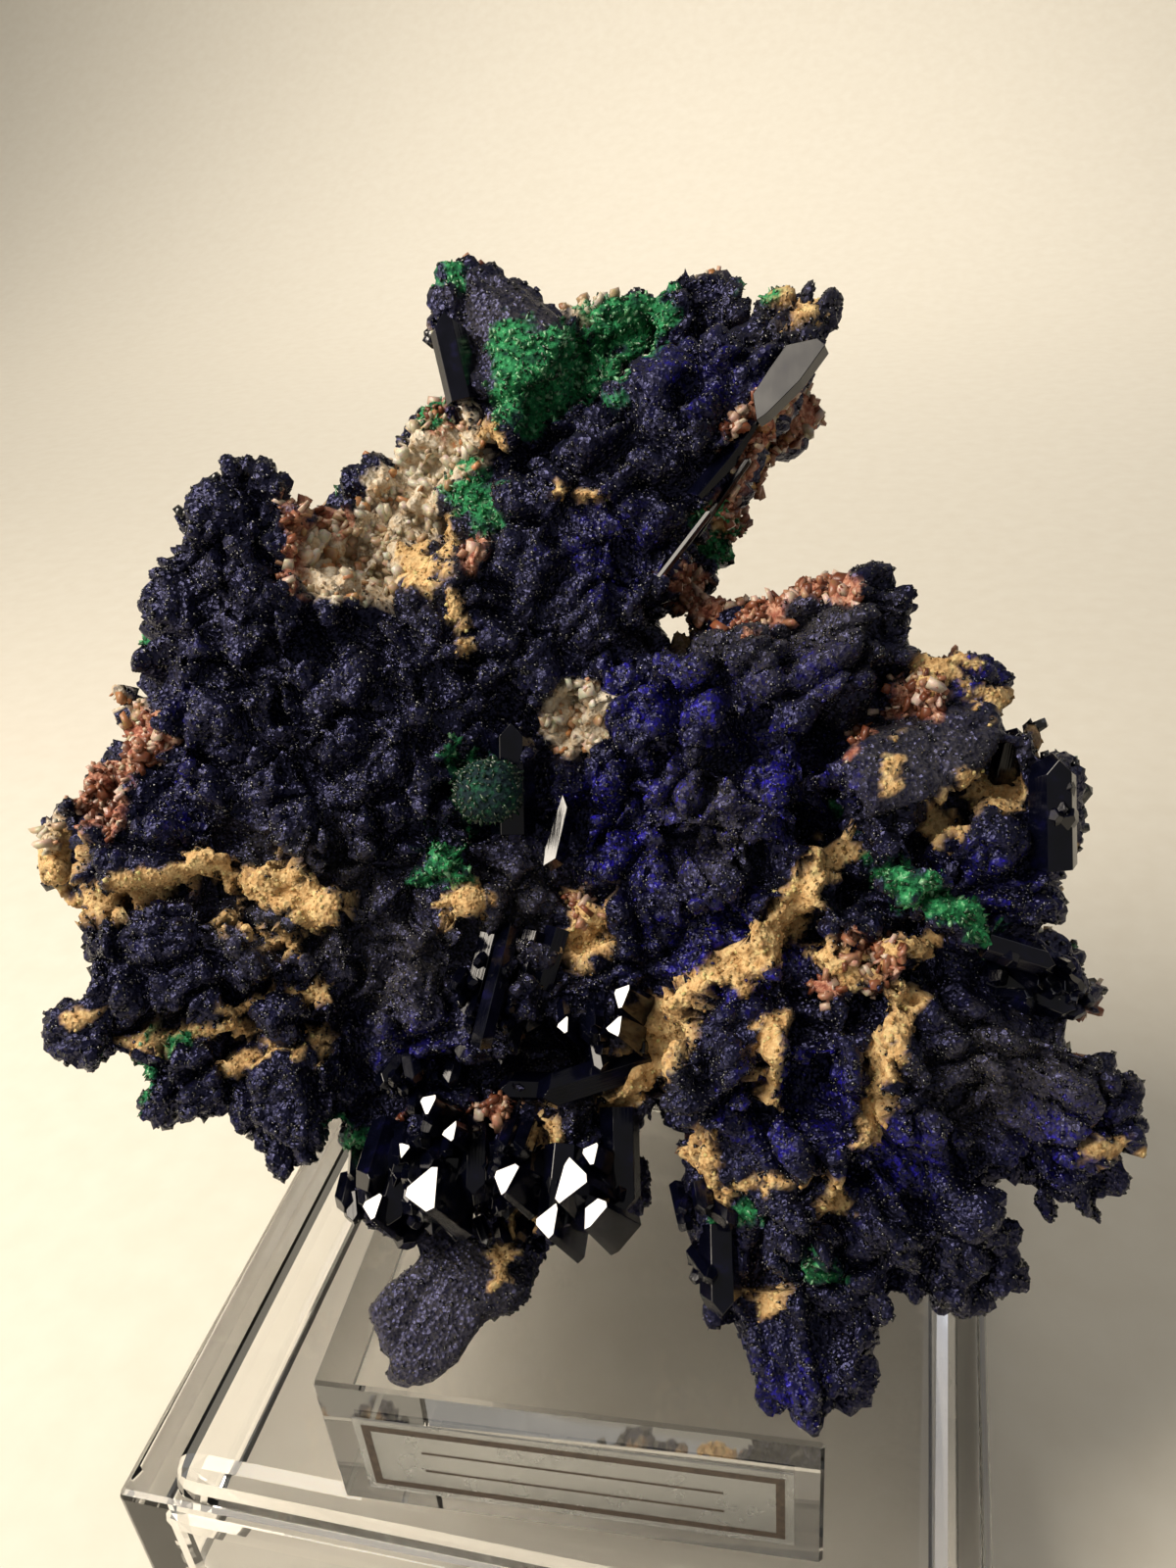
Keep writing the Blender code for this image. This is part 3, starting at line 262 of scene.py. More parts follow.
RIGHT, DOWN, AHEAD = view_axes()
BASE_LOW, BASE_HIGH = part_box("display_base")
BASE_CORNER = Vector((BASE_LOW[0], BASE_LOW[1], BASE_HIGH[2]))
EYE_PLACE = BASE_CORNER + EYE * MM


def off_sheet(point):
    """Place in the frame, in metres, of a sheet point (across, drop, out)."""
    across, drop, out = point
    flat = RIGHT * (across - SHEET_MIDDLE[0]) + DOWN * (drop - SHEET_MIDDLE[1]) + AHEAD * SHEET_DISTANCE
    return EYE_PLACE + flat * (1.0 - out / SHEET_DISTANCE) * MM


def on_sheet(places):
    """Sheet points (across, drop, out) of an array of places in the frame."""
    sight = (places - np.array(EYE_PLACE)) / MM
    depth = sight @ np.array(AHEAD)
    across = SHEET_MIDDLE[0] + (sight @ np.array(RIGHT)) * SHEET_DISTANCE / depth
    drop = SHEET_MIDDLE[1] + (sight @ np.array(DOWN)) * SHEET_DISTANCE / depth
    return np.stack([across, drop, SHEET_DISTANCE - depth], axis=1)


def linear(colour):
    """Linear RGBA of an sRGB hex colour."""
    channels = [int(colour[start:start + 2], 16) / 255 for start in (1, 3, 5)]
    lit = [c / 12.92 if c <= 0.04045 else ((c + 0.055) / 1.055) ** 2.4 for c in channels]
    return (*lit, 1.0)


def set_node(tree, node, settings, links):
    """Set a node's sockets, properties or colour stops, and link its inputs. A node that is given
    as a source gives its first output."""
    for key, value in settings.items():
        if key == "stops":
            ramp = node.color_ramp
            while len(ramp.elements) < len(value):
                ramp.elements.new(0.5)
            for element, (place, colour) in zip(ramp.elements, value):
                element.position = place
                element.color = linear(colour)
        elif isinstance(key, int) or key in node.inputs:
            node.inputs[key].default_value = value
        else:
            setattr(node, key, value)
    for key, source in links.items():
        tree.links.new(getattr(source, "outputs", [source])[0], node.inputs[key])


def add_node(tree, kind, settings=(), links=()):
    """Add a node with its settings and links."""
    node = tree.nodes.new("ShaderNode" + kind)
    set_node(tree, node, dict(settings), dict(links))
    return node


def lumps(tree, places, size, detail, roughness=0.5):
    """Noise texture with lumps of a size in mm."""
    return add_node(tree, "TexNoise", {"Scale": PER_MM / size, "Detail": detail,
                                       "Roughness": roughness}, {"Vector": places})


def mesh_values(tree, name):
    """What the mesh's places hold under a name, as single values."""
    return add_node(tree, "Attribute", {"attribute_name": name}).outputs["Fac"]


def new_material(name):
    """Empty material with its Principled shader joined to the output, and the object's places."""
    made = bpy.data.materials.new(name)
    made.use_nodes = True
    tree = made.node_tree
    tree.nodes.clear()
    shader = add_node(tree, "BsdfPrincipled")
    add_node(tree, "OutputMaterial", links={"Surface": shader})
    places = add_node(tree, "TexCoord").outputs["Object"]
    return made, tree, shader, places


def give(piece, made):
    """Put one material on a piece."""
    piece.data.materials.clear()
    piece.data.materials.append(made)


AZURITE_STOPS = [
    (0.0, "#030409"), (0.4, "#070814"), (0.62, "#0d0e26"), (0.8, "#141247"), (0.92, "#1b1486"),
    (1.0, "#2a20b4"),
]
# colour painted as shade on the crevices' floor
CREVICE_PAINTED_SHADE = "#04040b"
DUST_COLOUR = "#4a4848"
CLEAN_STOPS = [(0.3, "#020308"), (0.62, "#060716"), (0.8, "#0f0e3a")]
MALACHITE_STOPS = [(0.0, "#051e0e"), (0.35, "#165c2e"), (0.7, "#349a58"), (1.0, "#a4dcae")]
# the malachite knob, its green painted darker as shade
BALL_PAINTED_SHADE_STOPS = [(0.0, "#03100a"), (0.5, "#082414"), (1.0, "#1d5c34")]
OCHRE_STOPS = [(0.0, "#94713f"), (0.35, "#c9a168"), (0.7, "#e2c38a"), (1.0, "#e8d894")]
PALE_STOPS = [(0.0, "#b87a48"), (0.3, "#cbb592"), (0.92, "#ebe4d2"), (1.0, "#e0985a")]
RUST_STOPS = [(0.0, "#5c2a18"), (0.35, "#9a5c40"), (0.7, "#c8977a"), (1.0, "#e8d2c0")]
DUST_STOPS = [(0.0, "#3c362e"), (1.0, "#8f8468")]


def azurite_rock():
    """Drusy azurite with its crusts: near black blue, glinting grains, dull earthy patches."""
    made, tree, shader, places = new_material("drusy azurite with malachite, ochre and matrix")
    # patches of deeper blue over 1.6 mm, grains of 0.38 mm (the finest of the druse that show)
    mottle = lumps(tree, places, 1.6, 6.0, 0.7)
    cells = add_node(tree, "TexVoronoi", {"Scale": PER_MM / 0.38}, {"Vector": places})
    glint = add_node(tree, "SeparateColor", links={"Color": cells.outputs["Color"]})
    # the azurite's own blue, painted brighter in patches as light shining through it
    vivid = mesh_values(tree, "vivid")
    blend = add_node(tree, "Math", {"operation": "MULTIPLY_ADD", 1: 0.62, 2: -0.04}, {0: mottle})
    speck = add_node(tree, "Math", {"operation": "MULTIPLY_ADD", 1: 0.36}, {0: glint, 2: blend})
    lively = add_node(tree, "Math", {"operation": "MULTIPLY_ADD", 1: 0.34}, {0: vivid, 2: speck})
    colour = add_node(tree, "ValToRGB", {"stops": AZURITE_STOPS}, {"Fac": lively})
    fine = lumps(tree, places, 0.5, 4.0)
    rough = add_node(tree, "Math", {"operation": "MULTIPLY_ADD", 1: 0.35, 2: 0.14},
                     {0: glint.outputs[1]})
    # painted shade: the colour goes dark into the crevices, where light hardly reaches
    shadow = add_node(tree, "MapRange", {"From Max": 0.75, "To Min": 0.08},
                      {"Value": mesh_values(tree, "open")})
    colour = add_node(tree, "Mix", {"data_type": "RGBA", 6: linear(CREVICE_PAINTED_SHADE)},
                      {0: shadow, 7: colour}).outputs[2]
    # dust in specks of 0.3 mm
    dust = mesh_values(tree, "dust")
    powder = lumps(tree, places, 0.3, 3.0)
    speckled = add_node(tree, "MapRange", {"From Min": 0.35, "From Max": 0.7, "To Min": 0.15,
                                           "To Max": 0.8}, {"Value": powder})
    settled = add_node(tree, "Math", {"operation": "MULTIPLY", "use_clamp": True},
                       {0: dust, 1: speckled})
    colour = add_node(tree, "Mix", {"data_type": "RGBA", 7: linear(DUST_COLOUR)},
                      {0: settled, 6: colour}).outputs[2]
    # the other minerals, each with tones that change over about 1.1 mm, and all without gloss; the
    # knob's malachite is painted dark as the shade it lies in
    for name, stops in (("pale", PALE_STOPS), ("rust", RUST_STOPS), ("ochre", OCHRE_STOPS),
                        ("malachite", MALACHITE_STOPS), ("ball", BALL_PAINTED_SHADE_STOPS)):
        patch = mesh_values(tree, name)
        grain = lumps(tree, places, 1.1, 5.0, 0.75)
        tone = add_node(tree, "MapRange", {"From Min": 0.3, "From Max": 0.7}, {"Value": grain})
        own = add_node(tree, "ValToRGB", {"stops": stops}, {"Fac": tone})
        colour = add_node(tree, "Mix", {"data_type": "RGBA"}, {0: patch, 6: colour, 7: own}).outputs[2]
        rough = add_node(tree, "Mix", {3: 0.85}, {0: patch, 2: rough})
    # every grain has its own facet, which leans away from the surface
    height = add_node(tree, "Math", {"operation": "ADD"}, {0: cells.outputs["Distance"], 1: fine})
    facing = add_node(tree, "NewGeometry").outputs["Normal"]
    lean = add_node(tree, "VectorMath", {"operation": "SUBTRACT", 1: (0.5, 0.5, 0.5)},
                    {0: cells.outputs["Color"]})
    facet = add_node(tree, "VectorMath", {"operation": "MULTIPLY_ADD", 1: (0.75, 0.75, 0.75)},
                     {0: lean, 2: facing})
    level = add_node(tree, "VectorMath", {"operation": "NORMALIZE"}, {0: facet})
    bump = add_node(tree, "Bump", {"Strength": 0.6, "Distance": 0.2 * MM},
                    {"Height": height, "Normal": level})
    set_node(tree, shader,
             {"IOR": 1.75, "Specular IOR Level": 0.32, "Specular Tint": linear("#b4b6ff")},
             {"Base Color": colour, "Roughness": rough, "Normal": bump})
    return made


def grain_material(name, stops, roughness, ior, grit):
    """Small crystals or grains that each take their own tone from the stops, pitted by grit."""
    made, tree, shader, places = new_material(name)
    colour = add_node(tree, "ValToRGB", {"stops": stops}, {"Fac": mesh_values(tree, "tint")})
    pits = lumps(tree, places, grit, 3.0)
    shade = add_node(tree, "Mix", {"data_type": "RGBA", "blend_type": "MULTIPLY", 0: 0.5},
                     {6: colour, 7: pits.outputs[1]})
    bump = add_node(tree, "Bump", {"Strength": 0.3, "Distance": grit * 0.2 * MM}, {"Height": pits})
    set_node(tree, shader, {"Roughness": roughness, "IOR": ior},
             {"Base Color": shade.outputs[2], "Normal": bump})
    return made


def polished_azurite(name, gloss, smoothest, roughest, depth):
    """Cleanly grown azurite faces: nearly black, mirror bright, with fine lines along them."""
    made, tree, shader, places = new_material(name)
    grain = add_node(tree, "Attribute", {"attribute_name": "along"})
    lines = add_node(tree, "TexNoise", {"Scale": 1.0, "Detail": 3.0},
                     {"Vector": grain.outputs["Vector"]})
    # cloudiness over 2.5 mm
    clouds = lumps(tree, places, 2.5, 4.0)
    colour = add_node(tree, "ValToRGB", {"stops": CLEAN_STOPS}, {"Fac": clouds})
    rough = add_node(tree, "MapRange", {"From Min": 0.35, "From Max": 0.75, "To Min": smoothest,
                                        "To Max": roughest}, {"Value": clouds})
    bump = add_node(tree, "Bump", {"Strength": 0.3, "Distance": depth * MM}, {"Height": lines})
    set_node(tree, shader, {"IOR": 1.78, "Specular IOR Level": gloss},
             {"Base Color": colour, "Roughness": rough, "Normal": bump})
    return made


def clear_acrylic():
    """Cast and moulded acrylic: colourless, glossy, with the faintest waviness."""
    made, tree, shader, places = new_material("clear cast acrylic")
    # waves 18 mm long, as moulded faces have
    waves = lumps(tree, places, 18.0, 1.0)
    bump = add_node(tree, "Bump", {"Strength": 0.12, "Distance": 0.1 * MM}, {"Height": waves})
    set_node(tree, shader, {"Base Color": linear("#ffffff"), "Roughness": 0.02, "IOR": 1.49,
                            "Transmission Weight": 1.0}, {"Normal": bump})
    return made


def label_film():
    """Thin clear printed film: see-through with a slight haze."""
    made, tree, shader, places = new_material("clear polyester label film")
    # haze in clouds of 3 mm
    haze = lumps(tree, places, 3.0, 3.0)
    rough = add_node(tree, "MapRange", {"To Min": 0.15, "To Max": 0.35}, {"Value": haze})
    set_node(tree, shader, {"Base Color": linear("#eef0ee"), "IOR": 1.49,
                            "Transmission Weight": 0.9}, {"Roughness": rough})
    return made


def label_ink():
    """Printed toner: flat brown black, slightly worn through."""
    made, tree, shader, places = new_material("printed toner")
    # worn spots of 0.6 mm
    wear = lumps(tree, places, 0.6, 4.0)
    colour = add_node(tree, "ValToRGB",
                      {"stops": [(0.3, "#3a3029"), (0.7, "#57493d"), (0.85, "#8a7c6c")]}, {"Fac": wear})
    set_node(tree, shader, {"Roughness": 0.6}, {"Base Color": colour})
    return made


def floor_paint():
    """Plain pale paper sweep, matt."""
    made, tree, shader, places = new_material("matt cream paper")
    # faint clouds of 6 mm, coarser than the fibres so that they show
    fibre = lumps(tree, places, 6.0, 5.0)
    colour = add_node(tree, "ValToRGB", {"stops": [(0.3, "#e6e0d2"), (0.7, "#eae5d8")]}, {"Fac": fibre})
    set_node(tree, shader, {"Roughness": 0.8}, {"Base Color": colour})
    return made


def new_object(name, mesh):
    """Object with a mesh, in the scene."""
    made = bpy.data.objects.new(name, mesh)
    bpy.context.collection.objects.link(made)
    return made


def drawn_object(name, shape):
    """Object of a finished bmesh, in the scene."""
    mesh = bpy.data.meshes.new(name.replace("_", " "))
    shape.to_mesh(mesh)
    shape.free()
    return new_object(name, mesh)


def read(items, field, width):
    """Field of a mesh's items as an array."""
    values = np.empty(len(items) * width, np.float32)
    items.foreach_get(field, values)
    return values.reshape(-1, width).astype(float)


def mesh_of(name, places, corners, sizes, fields):
    """Mesh from places, its faces' corners in a row, their sizes, and values on the places."""
    mesh = bpy.data.meshes.new(name)
    mesh.vertices.add(len(places))
    mesh.vertices.foreach_set("co", np.ascontiguousarray(places, np.float32).ravel())
    mesh.loops.add(len(corners))
    mesh.loops.foreach_set("vertex_index", corners.astype(np.int32))
    mesh.polygons.add(len(sizes))
    starts = np.concatenate([[0], np.cumsum(sizes)[:-1]])
    mesh.polygons.foreach_set("loop_start", starts.astype(np.int32))
    for field, values in fields.items():
        kind, key = ("FLOAT", "value") if values.ndim == 1 else ("FLOAT_VECTOR", "vector")
        layer = mesh.attributes.new(field, kind, "POINT")
        layer.data.foreach_set(key, np.ascontiguousarray(values, np.float32).ravel())
    mesh.update(calc_edges=True)
    mesh.validate()
    return mesh


def relaxed(places, edges, rounds):
    """Places moved halfway to the middle of their neighbours, to round hard edges."""
    ends = np.concatenate([edges, edges[:, ::-1]])
    count = np.bincount(ends[:, 0], minlength=len(places))[:, None]
    for _ in range(rounds):
        total = np.stack([np.bincount(ends[:, 0], places[ends[:, 1], axis], len(places))
                          for axis in range(3)], axis=1)
        places = places + 0.5 * (total / count - places)
    return places


def inside_spots(flat, spots):
    """How far inside the nearest spot each sheet place is, in mm; below 0 outside."""
    best = np.full(len(flat), -99.0)
    for across, drop, half_width, half_height in spots:
        reach = np.hypot((flat[:, 0] - across) / half_width, (flat[:, 1] - drop) / half_height)
        best = np.maximum(best, (1.0 - reach) * min(half_width, half_height))
    return best


def inside_seams(flat, seams):
    """How far inside the nearest seam each sheet place is, in mm; below 0 outside."""
    best = np.full(len(flat), -99.0)
    for seam in seams:
        for start, end in zip(seam[:-1], seam[1:]):
            start = np.array(start)
            run = np.array(end) - start
            away = flat[:, :2] - start[:2]
            share = np.clip(away @ run[:2] / (run[:2] @ run[:2]), 0.0, 1.0)
            gap = np.linalg.norm(away - share[:, None] * run[:2], axis=1)
            best = np.maximum(best, start[2] + share * run[2] - gap)
    return best


def hidden_by(tree, places):
    """How far behind the first thing in the viewer's sight each place lies, in mm."""
    hidden = np.zeros(len(places))
    for index, place in enumerate(places):
        sight = Vector(place) - EYE_PLACE
        hit = tree.ray_cast(EYE_PLACE, sight.normalized())[3]
        if hit is not None:
            hidden[index] = (sight.length - hit) / MM
    return hidden


def cloud(places, size, seed):
    """Smooth noise, about -0.6 to 0.6, with lumps of a size in mm."""
    shift = Vector((seed * 7.3, seed * 3.1, seed * 5.7))
    scale = PER_MM / size
    return np.array([noise.noise(Vector(place) * scale + shift) for place in places])


def growth_frames():
    """Side, front and growth directions of each growth, as rows of unit vectors."""
    frames = []
    for _, (across, drop, out), _ in GROWTHS:
        growth = (RIGHT * across + DOWN * drop - AHEAD * out).normalized()
        side = growth.cross(-AHEAD).normalized()
        frames.append((side, side.cross(growth), growth))
    return np.array(frames)


def growth_of(places, flat):
    """Number of the growth that each place belongs to, with ragged borders between them, and how
    far inside it the place is, 0 at the border to 1."""
    shift = np.stack([cloud(places, 5.0, 21), cloud(places, 5.0, 22)], axis=1) * 5.0
    away = []
    for middle, _, _ in GROWTHS:
        away.append(np.hypot(*(flat[:, :2] + shift - middle).T))
    away = np.array(away)
    nearest = np.sort(away, axis=0)
    inside = np.clip((nearest[1] - nearest[0]) / BORDER, 0.0, 1.0)
    return np.argmin(away, axis=0), np.sin(inside * math.pi / 2)


def chance_of(cells, seed):
    """A steady random number, 0 to 1, for each cell's middle."""
    mixed = np.sin(cells @ np.array([12.9898, 78.233, 37.719]) + seed * 4.1) * 43758.5453
    return mixed - np.floor(mixed)


def stacked(places, growth, inside, frames, width, length, rounded, seed):
    """Stacked blocks along the growth, each with its own step and lean, and how bare each place is
    of a crevice."""
    local = np.einsum("vij,vj->vi", frames[growth], places * PER_MM)
    drawn_out = np.array([row[2] for row in GROWTHS])[growth]
    local[:, 2] /= drawn_out
    local = local / np.array([width, width, length]) + growth[:, None] * 7.7 + seed * 3.3
    gaps = np.empty(len(places))
    cells = np.empty((len(places), 3))
    for index, place in enumerate(local):
        reach, middles = noise.voronoi(place, distance_metric="MINKOVSKY_FOUR")
        gaps[index] = reach[1] - reach[0]
        cells[index] = middles[0]
    step = chance_of(cells, seed)
    lean = np.stack([chance_of(cells, seed + number) - 0.5 for number in (1, 2, 3)], axis=1)
    slope = np.einsum("ij,ij->i", local - cells, lean)
    top = np.sin(np.clip(gaps / rounded, 0.0, 1.0) * math.pi / 2) * inside
    return top * (0.5 + 0.45 * step + 0.5 * slope) - 0.5 * (1.0 - top), top


def knobs(places, size, seed):
    """Rounded knobs with sharp valleys: 1 at a knob's top, about 0 in the valleys."""
    shift = Vector((seed * 2.9, seed * 4.3, seed * 1.7))
    scale = PER_MM / size
    near = np.array([noise.voronoi(Vector(place) * scale + shift)[0][0] for place in places])
    return 1.0 - np.clip(near, 0.0, 1.0) ** 1.6


def patches(places, tree):
    """Each mineral's share at every place: drawn where the viewer sees, drifting behind."""
    flat = on_sheet(places)
    hidden = hidden_by(tree, places)
    seen = (hidden < SEEN_WITHIN).astype(float)
    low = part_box("azurite_cluster")[0][2]
    # the lowest 13 mm stay bare azurite behind, and the patches fade in over the next 8 mm
    raised = np.clip((places[:, 2] - low) / MM / 8.0 - 1.6, 0.0, 1.0)
    far = np.clip((hidden - FAR_FROM) / FAR_BLEND, 0.0, 1.0) * raised
    # edges wander in lumps of 1.6 mm and 0.6 mm, and the patches behind are some 11 mm wide
    ragged = cloud(places, 1.6, 1) * 1.4 + cloud(places, 0.6, 2) * 0.7
    wide = [cloud(places, 11.0, 3 + number) for number in range(3)]

    def drawn(spots, seams=(), raggedness=1.0, soft=0.35):
        depth = inside_spots(flat, spots)
        if seams:
            depth = np.maximum(depth, inside_seams(flat, seams))
        return np.clip((depth + ragged * raggedness) / soft + 0.5, 0.0, 1.0) * seen

    def behind(field, level, soft=0.06):
        return np.clip((field + ragged * 0.1 - level) / soft + 0.5, 0.0, 1.0) * far

    shares = {
        "malachite": drawn(MALACHITE, MALACHITE_SEAMS, 1.3) + behind(wide[0], 0.42),
        "ochre": drawn(OCHRE, OCHRE_SEAMS, 1.15) + behind(wide[1], 0.36),
        "pale": drawn(PALE, (), 0.8) + behind(-wide[1], 0.28),
        "rust": drawn(RUST, RUST_SEAMS, 0.8) + behind(wide[2], 0.4),
        "dust": np.clip(drawn(DUST, (), 2.2, 6.0) + 0.04, 0.0, 1.0),
        "vivid": np.clip(drawn(VIVID_LIT_THROUGH, (), 2.0, 5.0) + 0.1, 0.0, 1.0),
        "ball": drawn(BALL, (), 0.2),
    }
    return shares, drawn(SMOOTH, (), 0.4, 1.5), seen, hidden > BEHIND_FROM


def fine_solid():
    """The specimen's solid with an even fine mesh: places, faces, outward directions, search tree."""
    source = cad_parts["azurite_cluster"]
    rock = new_object("rock", source.data.copy())
    remesh = rock.modifiers.new("fine", "REMESH")
    remesh.mode = "VOXEL"
    remesh.voxel_size = FINENESS * MM
    graph = bpy.context.evaluated_depsgraph_get()
    fine = bpy.data.meshes.new_from_object(rock.evaluated_get(graph))
    bpy.data.objects.remove(rock)
    edges = np.array([edge.vertices[:] for edge in fine.edges])
    faces = np.array([face.vertices[:] for face in fine.polygons])
    places = relaxed(read(fine.vertices, "co", 3), edges, ROUNDING)
    fine.vertices.foreach_set("co", places.astype(np.float32).ravel())
    fine.update()
    normals = read(fine.vertex_normals, "vector", 3)
    tree = BVHTree.FromPolygons([Vector(place) for place in places],
                                [list(map(int, face)) for face in faces])
    return places, faces, normals, tree


def room_for_crystals(places, polished):
    """1 beside a polished crystal, falling to 0 at its clearance."""
    room = np.zeros(len(places))
    for index, place in enumerate(places):
        away = polished.find_nearest(Vector(place), CLEARANCE * MM)[3]
        if away is not None:
            room[index] = 1.0 - away / (CLEARANCE * MM)
    return room


def thickness(tree, places, normals):
    """How thick the solid is behind each place, in mm, up to a limit."""
    thick = np.full(len(places), THICKEST)
    for index, (place, normal) in enumerate(zip(places, normals)):
        # from just under the surface, so that the ray doesn't meet its own place
        start = Vector(place - normal * 0.2 * MM)
        away = tree.ray_cast(start, Vector(-normal), THICKEST * MM)[3]
        if away is not None:
            thick[index] = away / MM
    return thick


def grown_surface(places, normals, shares, calm, seen, growth, inside, polished, rock):
    """Places moved out and in: stacked crystals, crusts with their grit, room for the big ones.
    The shares are told how far each place stands out of the crevices."""
    frames = growth_frames()
    earthy = np.clip(shares["ochre"] + shares["pale"] * 0.4, 0.0, 1.0)
    gritty = np.clip(earthy + shares["malachite"] + shares["rust"], 0.0, 1.0)
    rise = np.zeros(len(places))
    # how far each place stands out of the crevices, which the rock's colour takes for painted shade
    shares["open"] = np.ones(len(places))
    for number, (width, length, height, rounded) in enumerate(BLOCKS):
        blocks, top = stacked(places, growth, inside, frames, width, length, rounded, number)
        # clean crystals hardly step, and crusts fill part of the steps
        rise += (blocks - 0.5) * height * (1.0 - 0.85 * calm) * (1.0 - 0.35 * gritty - 0.5 * earthy)
        shares["open"] *= 1.0 - (1.0 - top) * (1.0 - calm) * min(height, 1.0)
    rise += earthy * CRUST_HEIGHT
    knob = np.clip(inside_spots(on_sheet(places), BALL) / BALL_RADIUS, 0.0, 1.0)
    rise = rise * (knob <= 0.0) + np.sqrt(1.0 - (1.0 - knob) ** 2) * BALL_HEIGHT * seen
    rise += gritty * (knobs(places, GRAIN_SIZE, 3) - 0.6) * GRAIN_HEIGHT
    rise += (1.0 - gritty) * (1.0 - 0.8 * calm) * cloud(places, FINE_SIZE, 8) * FINE_ROUGHNESS
    rise -= room_for_crystals(places, polished) * CRYSTAL_ROOM
    rise = np.maximum(rise, -DEEPEST_SHARE * thickness(rock, places, normals))
    moved = places + normals * rise[:, None] * MM
    moved[:, 2] = np.maximum(moved[:, 2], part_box("azurite_cluster")[0][2])
    return moved


def rock_pieces(places, faces, shares):
    """The rock's surface in a few objects, each within what one object may hold."""
    made = azurite_rock()
    number = math.ceil(len(faces) / PIECE_FACES)
    middles = on_sheet(places[faces].mean(axis=1))
    order = np.argsort(-middles[:, 2])
    pieces = []
    for index, share in enumerate(np.array_split(order, number)):
        kept, corners = np.unique(faces[share], return_inverse=True)
        fields = {name: values[kept] for name, values in shares.items()}
        mesh = mesh_of("specimen surface", places[kept], corners.ravel(),
                       np.full(len(share), faces.shape[1]), fields)
        mesh.shade_smooth()
        piece = new_object("specimen_surface_%d" % (index + 1), mesh)
        give(piece, made)
        pieces.append(piece)
    return pieces


# Small forms to plant: corners (side, front, up) and faces
WEDGE = (
    [(-0.5, -0.4, -0.35), (0.5, -0.4, -0.35), (0.5, 0.4, -0.35), (-0.5, 0.4, -0.35),
     (-0.3, 0.0, 1.0), (0.25, 0.0, 0.9)],
    [(3, 2, 1, 0), (0, 1, 5, 4), (2, 3, 4, 5), (1, 2, 5), (3, 0, 4)],
)
GRAIN = (
    [(0.5, 0.0, 0.1), (0.0, 0.5, 0.0), (-0.5, 0.0, -0.1), (0.0, -0.5, 0.0), (0.1, 0.0, 0.5),
     (0.0, 0.1, -0.5)],
    [(0, 1, 4), (1, 2, 4), (2, 3, 4), (3, 0, 4), (1, 0, 5), (2, 1, 5), (3, 2, 5), (0, 3, 5)],
)
BLOCK = (
    [(-0.5, -0.4, -0.4), (0.5, -0.5, -0.4), (0.5, 0.45, -0.4), (-0.45, 0.5, -0.4),
     (-0.35, -0.3, 0.8), (0.4, -0.35, 0.6), (0.35, 0.3, 0.9), (-0.4, 0.35, 0.7)],
    [(3, 2, 1, 0), (0, 1, 5, 4), (1, 2, 6, 5), (2, 3, 7, 6), (3, 0, 4, 7), (4, 5, 6, 7)],
)


def units(vectors):
    """Vectors at length 1."""
    return vectors / np.linalg.norm(vectors, axis=1, keepdims=True)


def planted(name, form, spots, upright, side, sizes, tints):
    """One object of many copies of a form, each on its spot, stood up and turned its own way."""
    corners = np.array(form[0])
    side = units(side - upright * np.einsum("ij,ij->i", side, upright)[:, None])
    front = np.cross(upright, side)
    places = spots[:, None, :] + (
        corners[None, :, 0:1] * side[:, None, :] * sizes[:, None, 0:1]
        + corners[None, :, 1:2] * front[:, None, :] * sizes[:, None, 1:2]
        + corners[None, :, 2:3] * upright[:, None, :] * sizes[:, None, 2:3]) * MM
    row = np.concatenate([np.array(face) for face in form[1]])
    every = (row[None, :] + len(corners) * np.arange(len(spots))[:, None]).ravel()
    face_sizes = np.tile([len(face) for face in form[1]], len(spots))
    fields = {"tint": np.repeat(tints, len(corners))}
    return new_object(name, mesh_of(name, places.reshape(-1, 3), every, face_sizes, fields))


def surface_of(places, faces):
    """Middles, outward directions and areas of four-sided faces."""
    corners = places[faces]
    cross = np.cross(corners[:, 2] - corners[:, 0], corners[:, 3] - corners[:, 1])
    area = np.linalg.norm(cross, axis=1)
    return corners, cross / np.maximum(area, 1e-12)[:, None], area


def pick(weights, number):
    """Numbers of the faces chosen by weight, each at most once."""
    number = min(number, int(np.count_nonzero(weights > 0)))
    return RANDOM.choice(len(weights), number, replace=False, p=weights / weights.sum())


def spots_on(corners, chosen):
    """A chance place on each chosen face."""
    shares = RANDOM.dirichlet(np.ones(4), len(chosen))
    return (corners[chosen] * shares[:, :, None]).sum(axis=1)


def tilted(directions, tilt):
    """Directions leaned by chance."""
    return units(directions + RANDOM.normal(0.0, tilt, directions.shape))


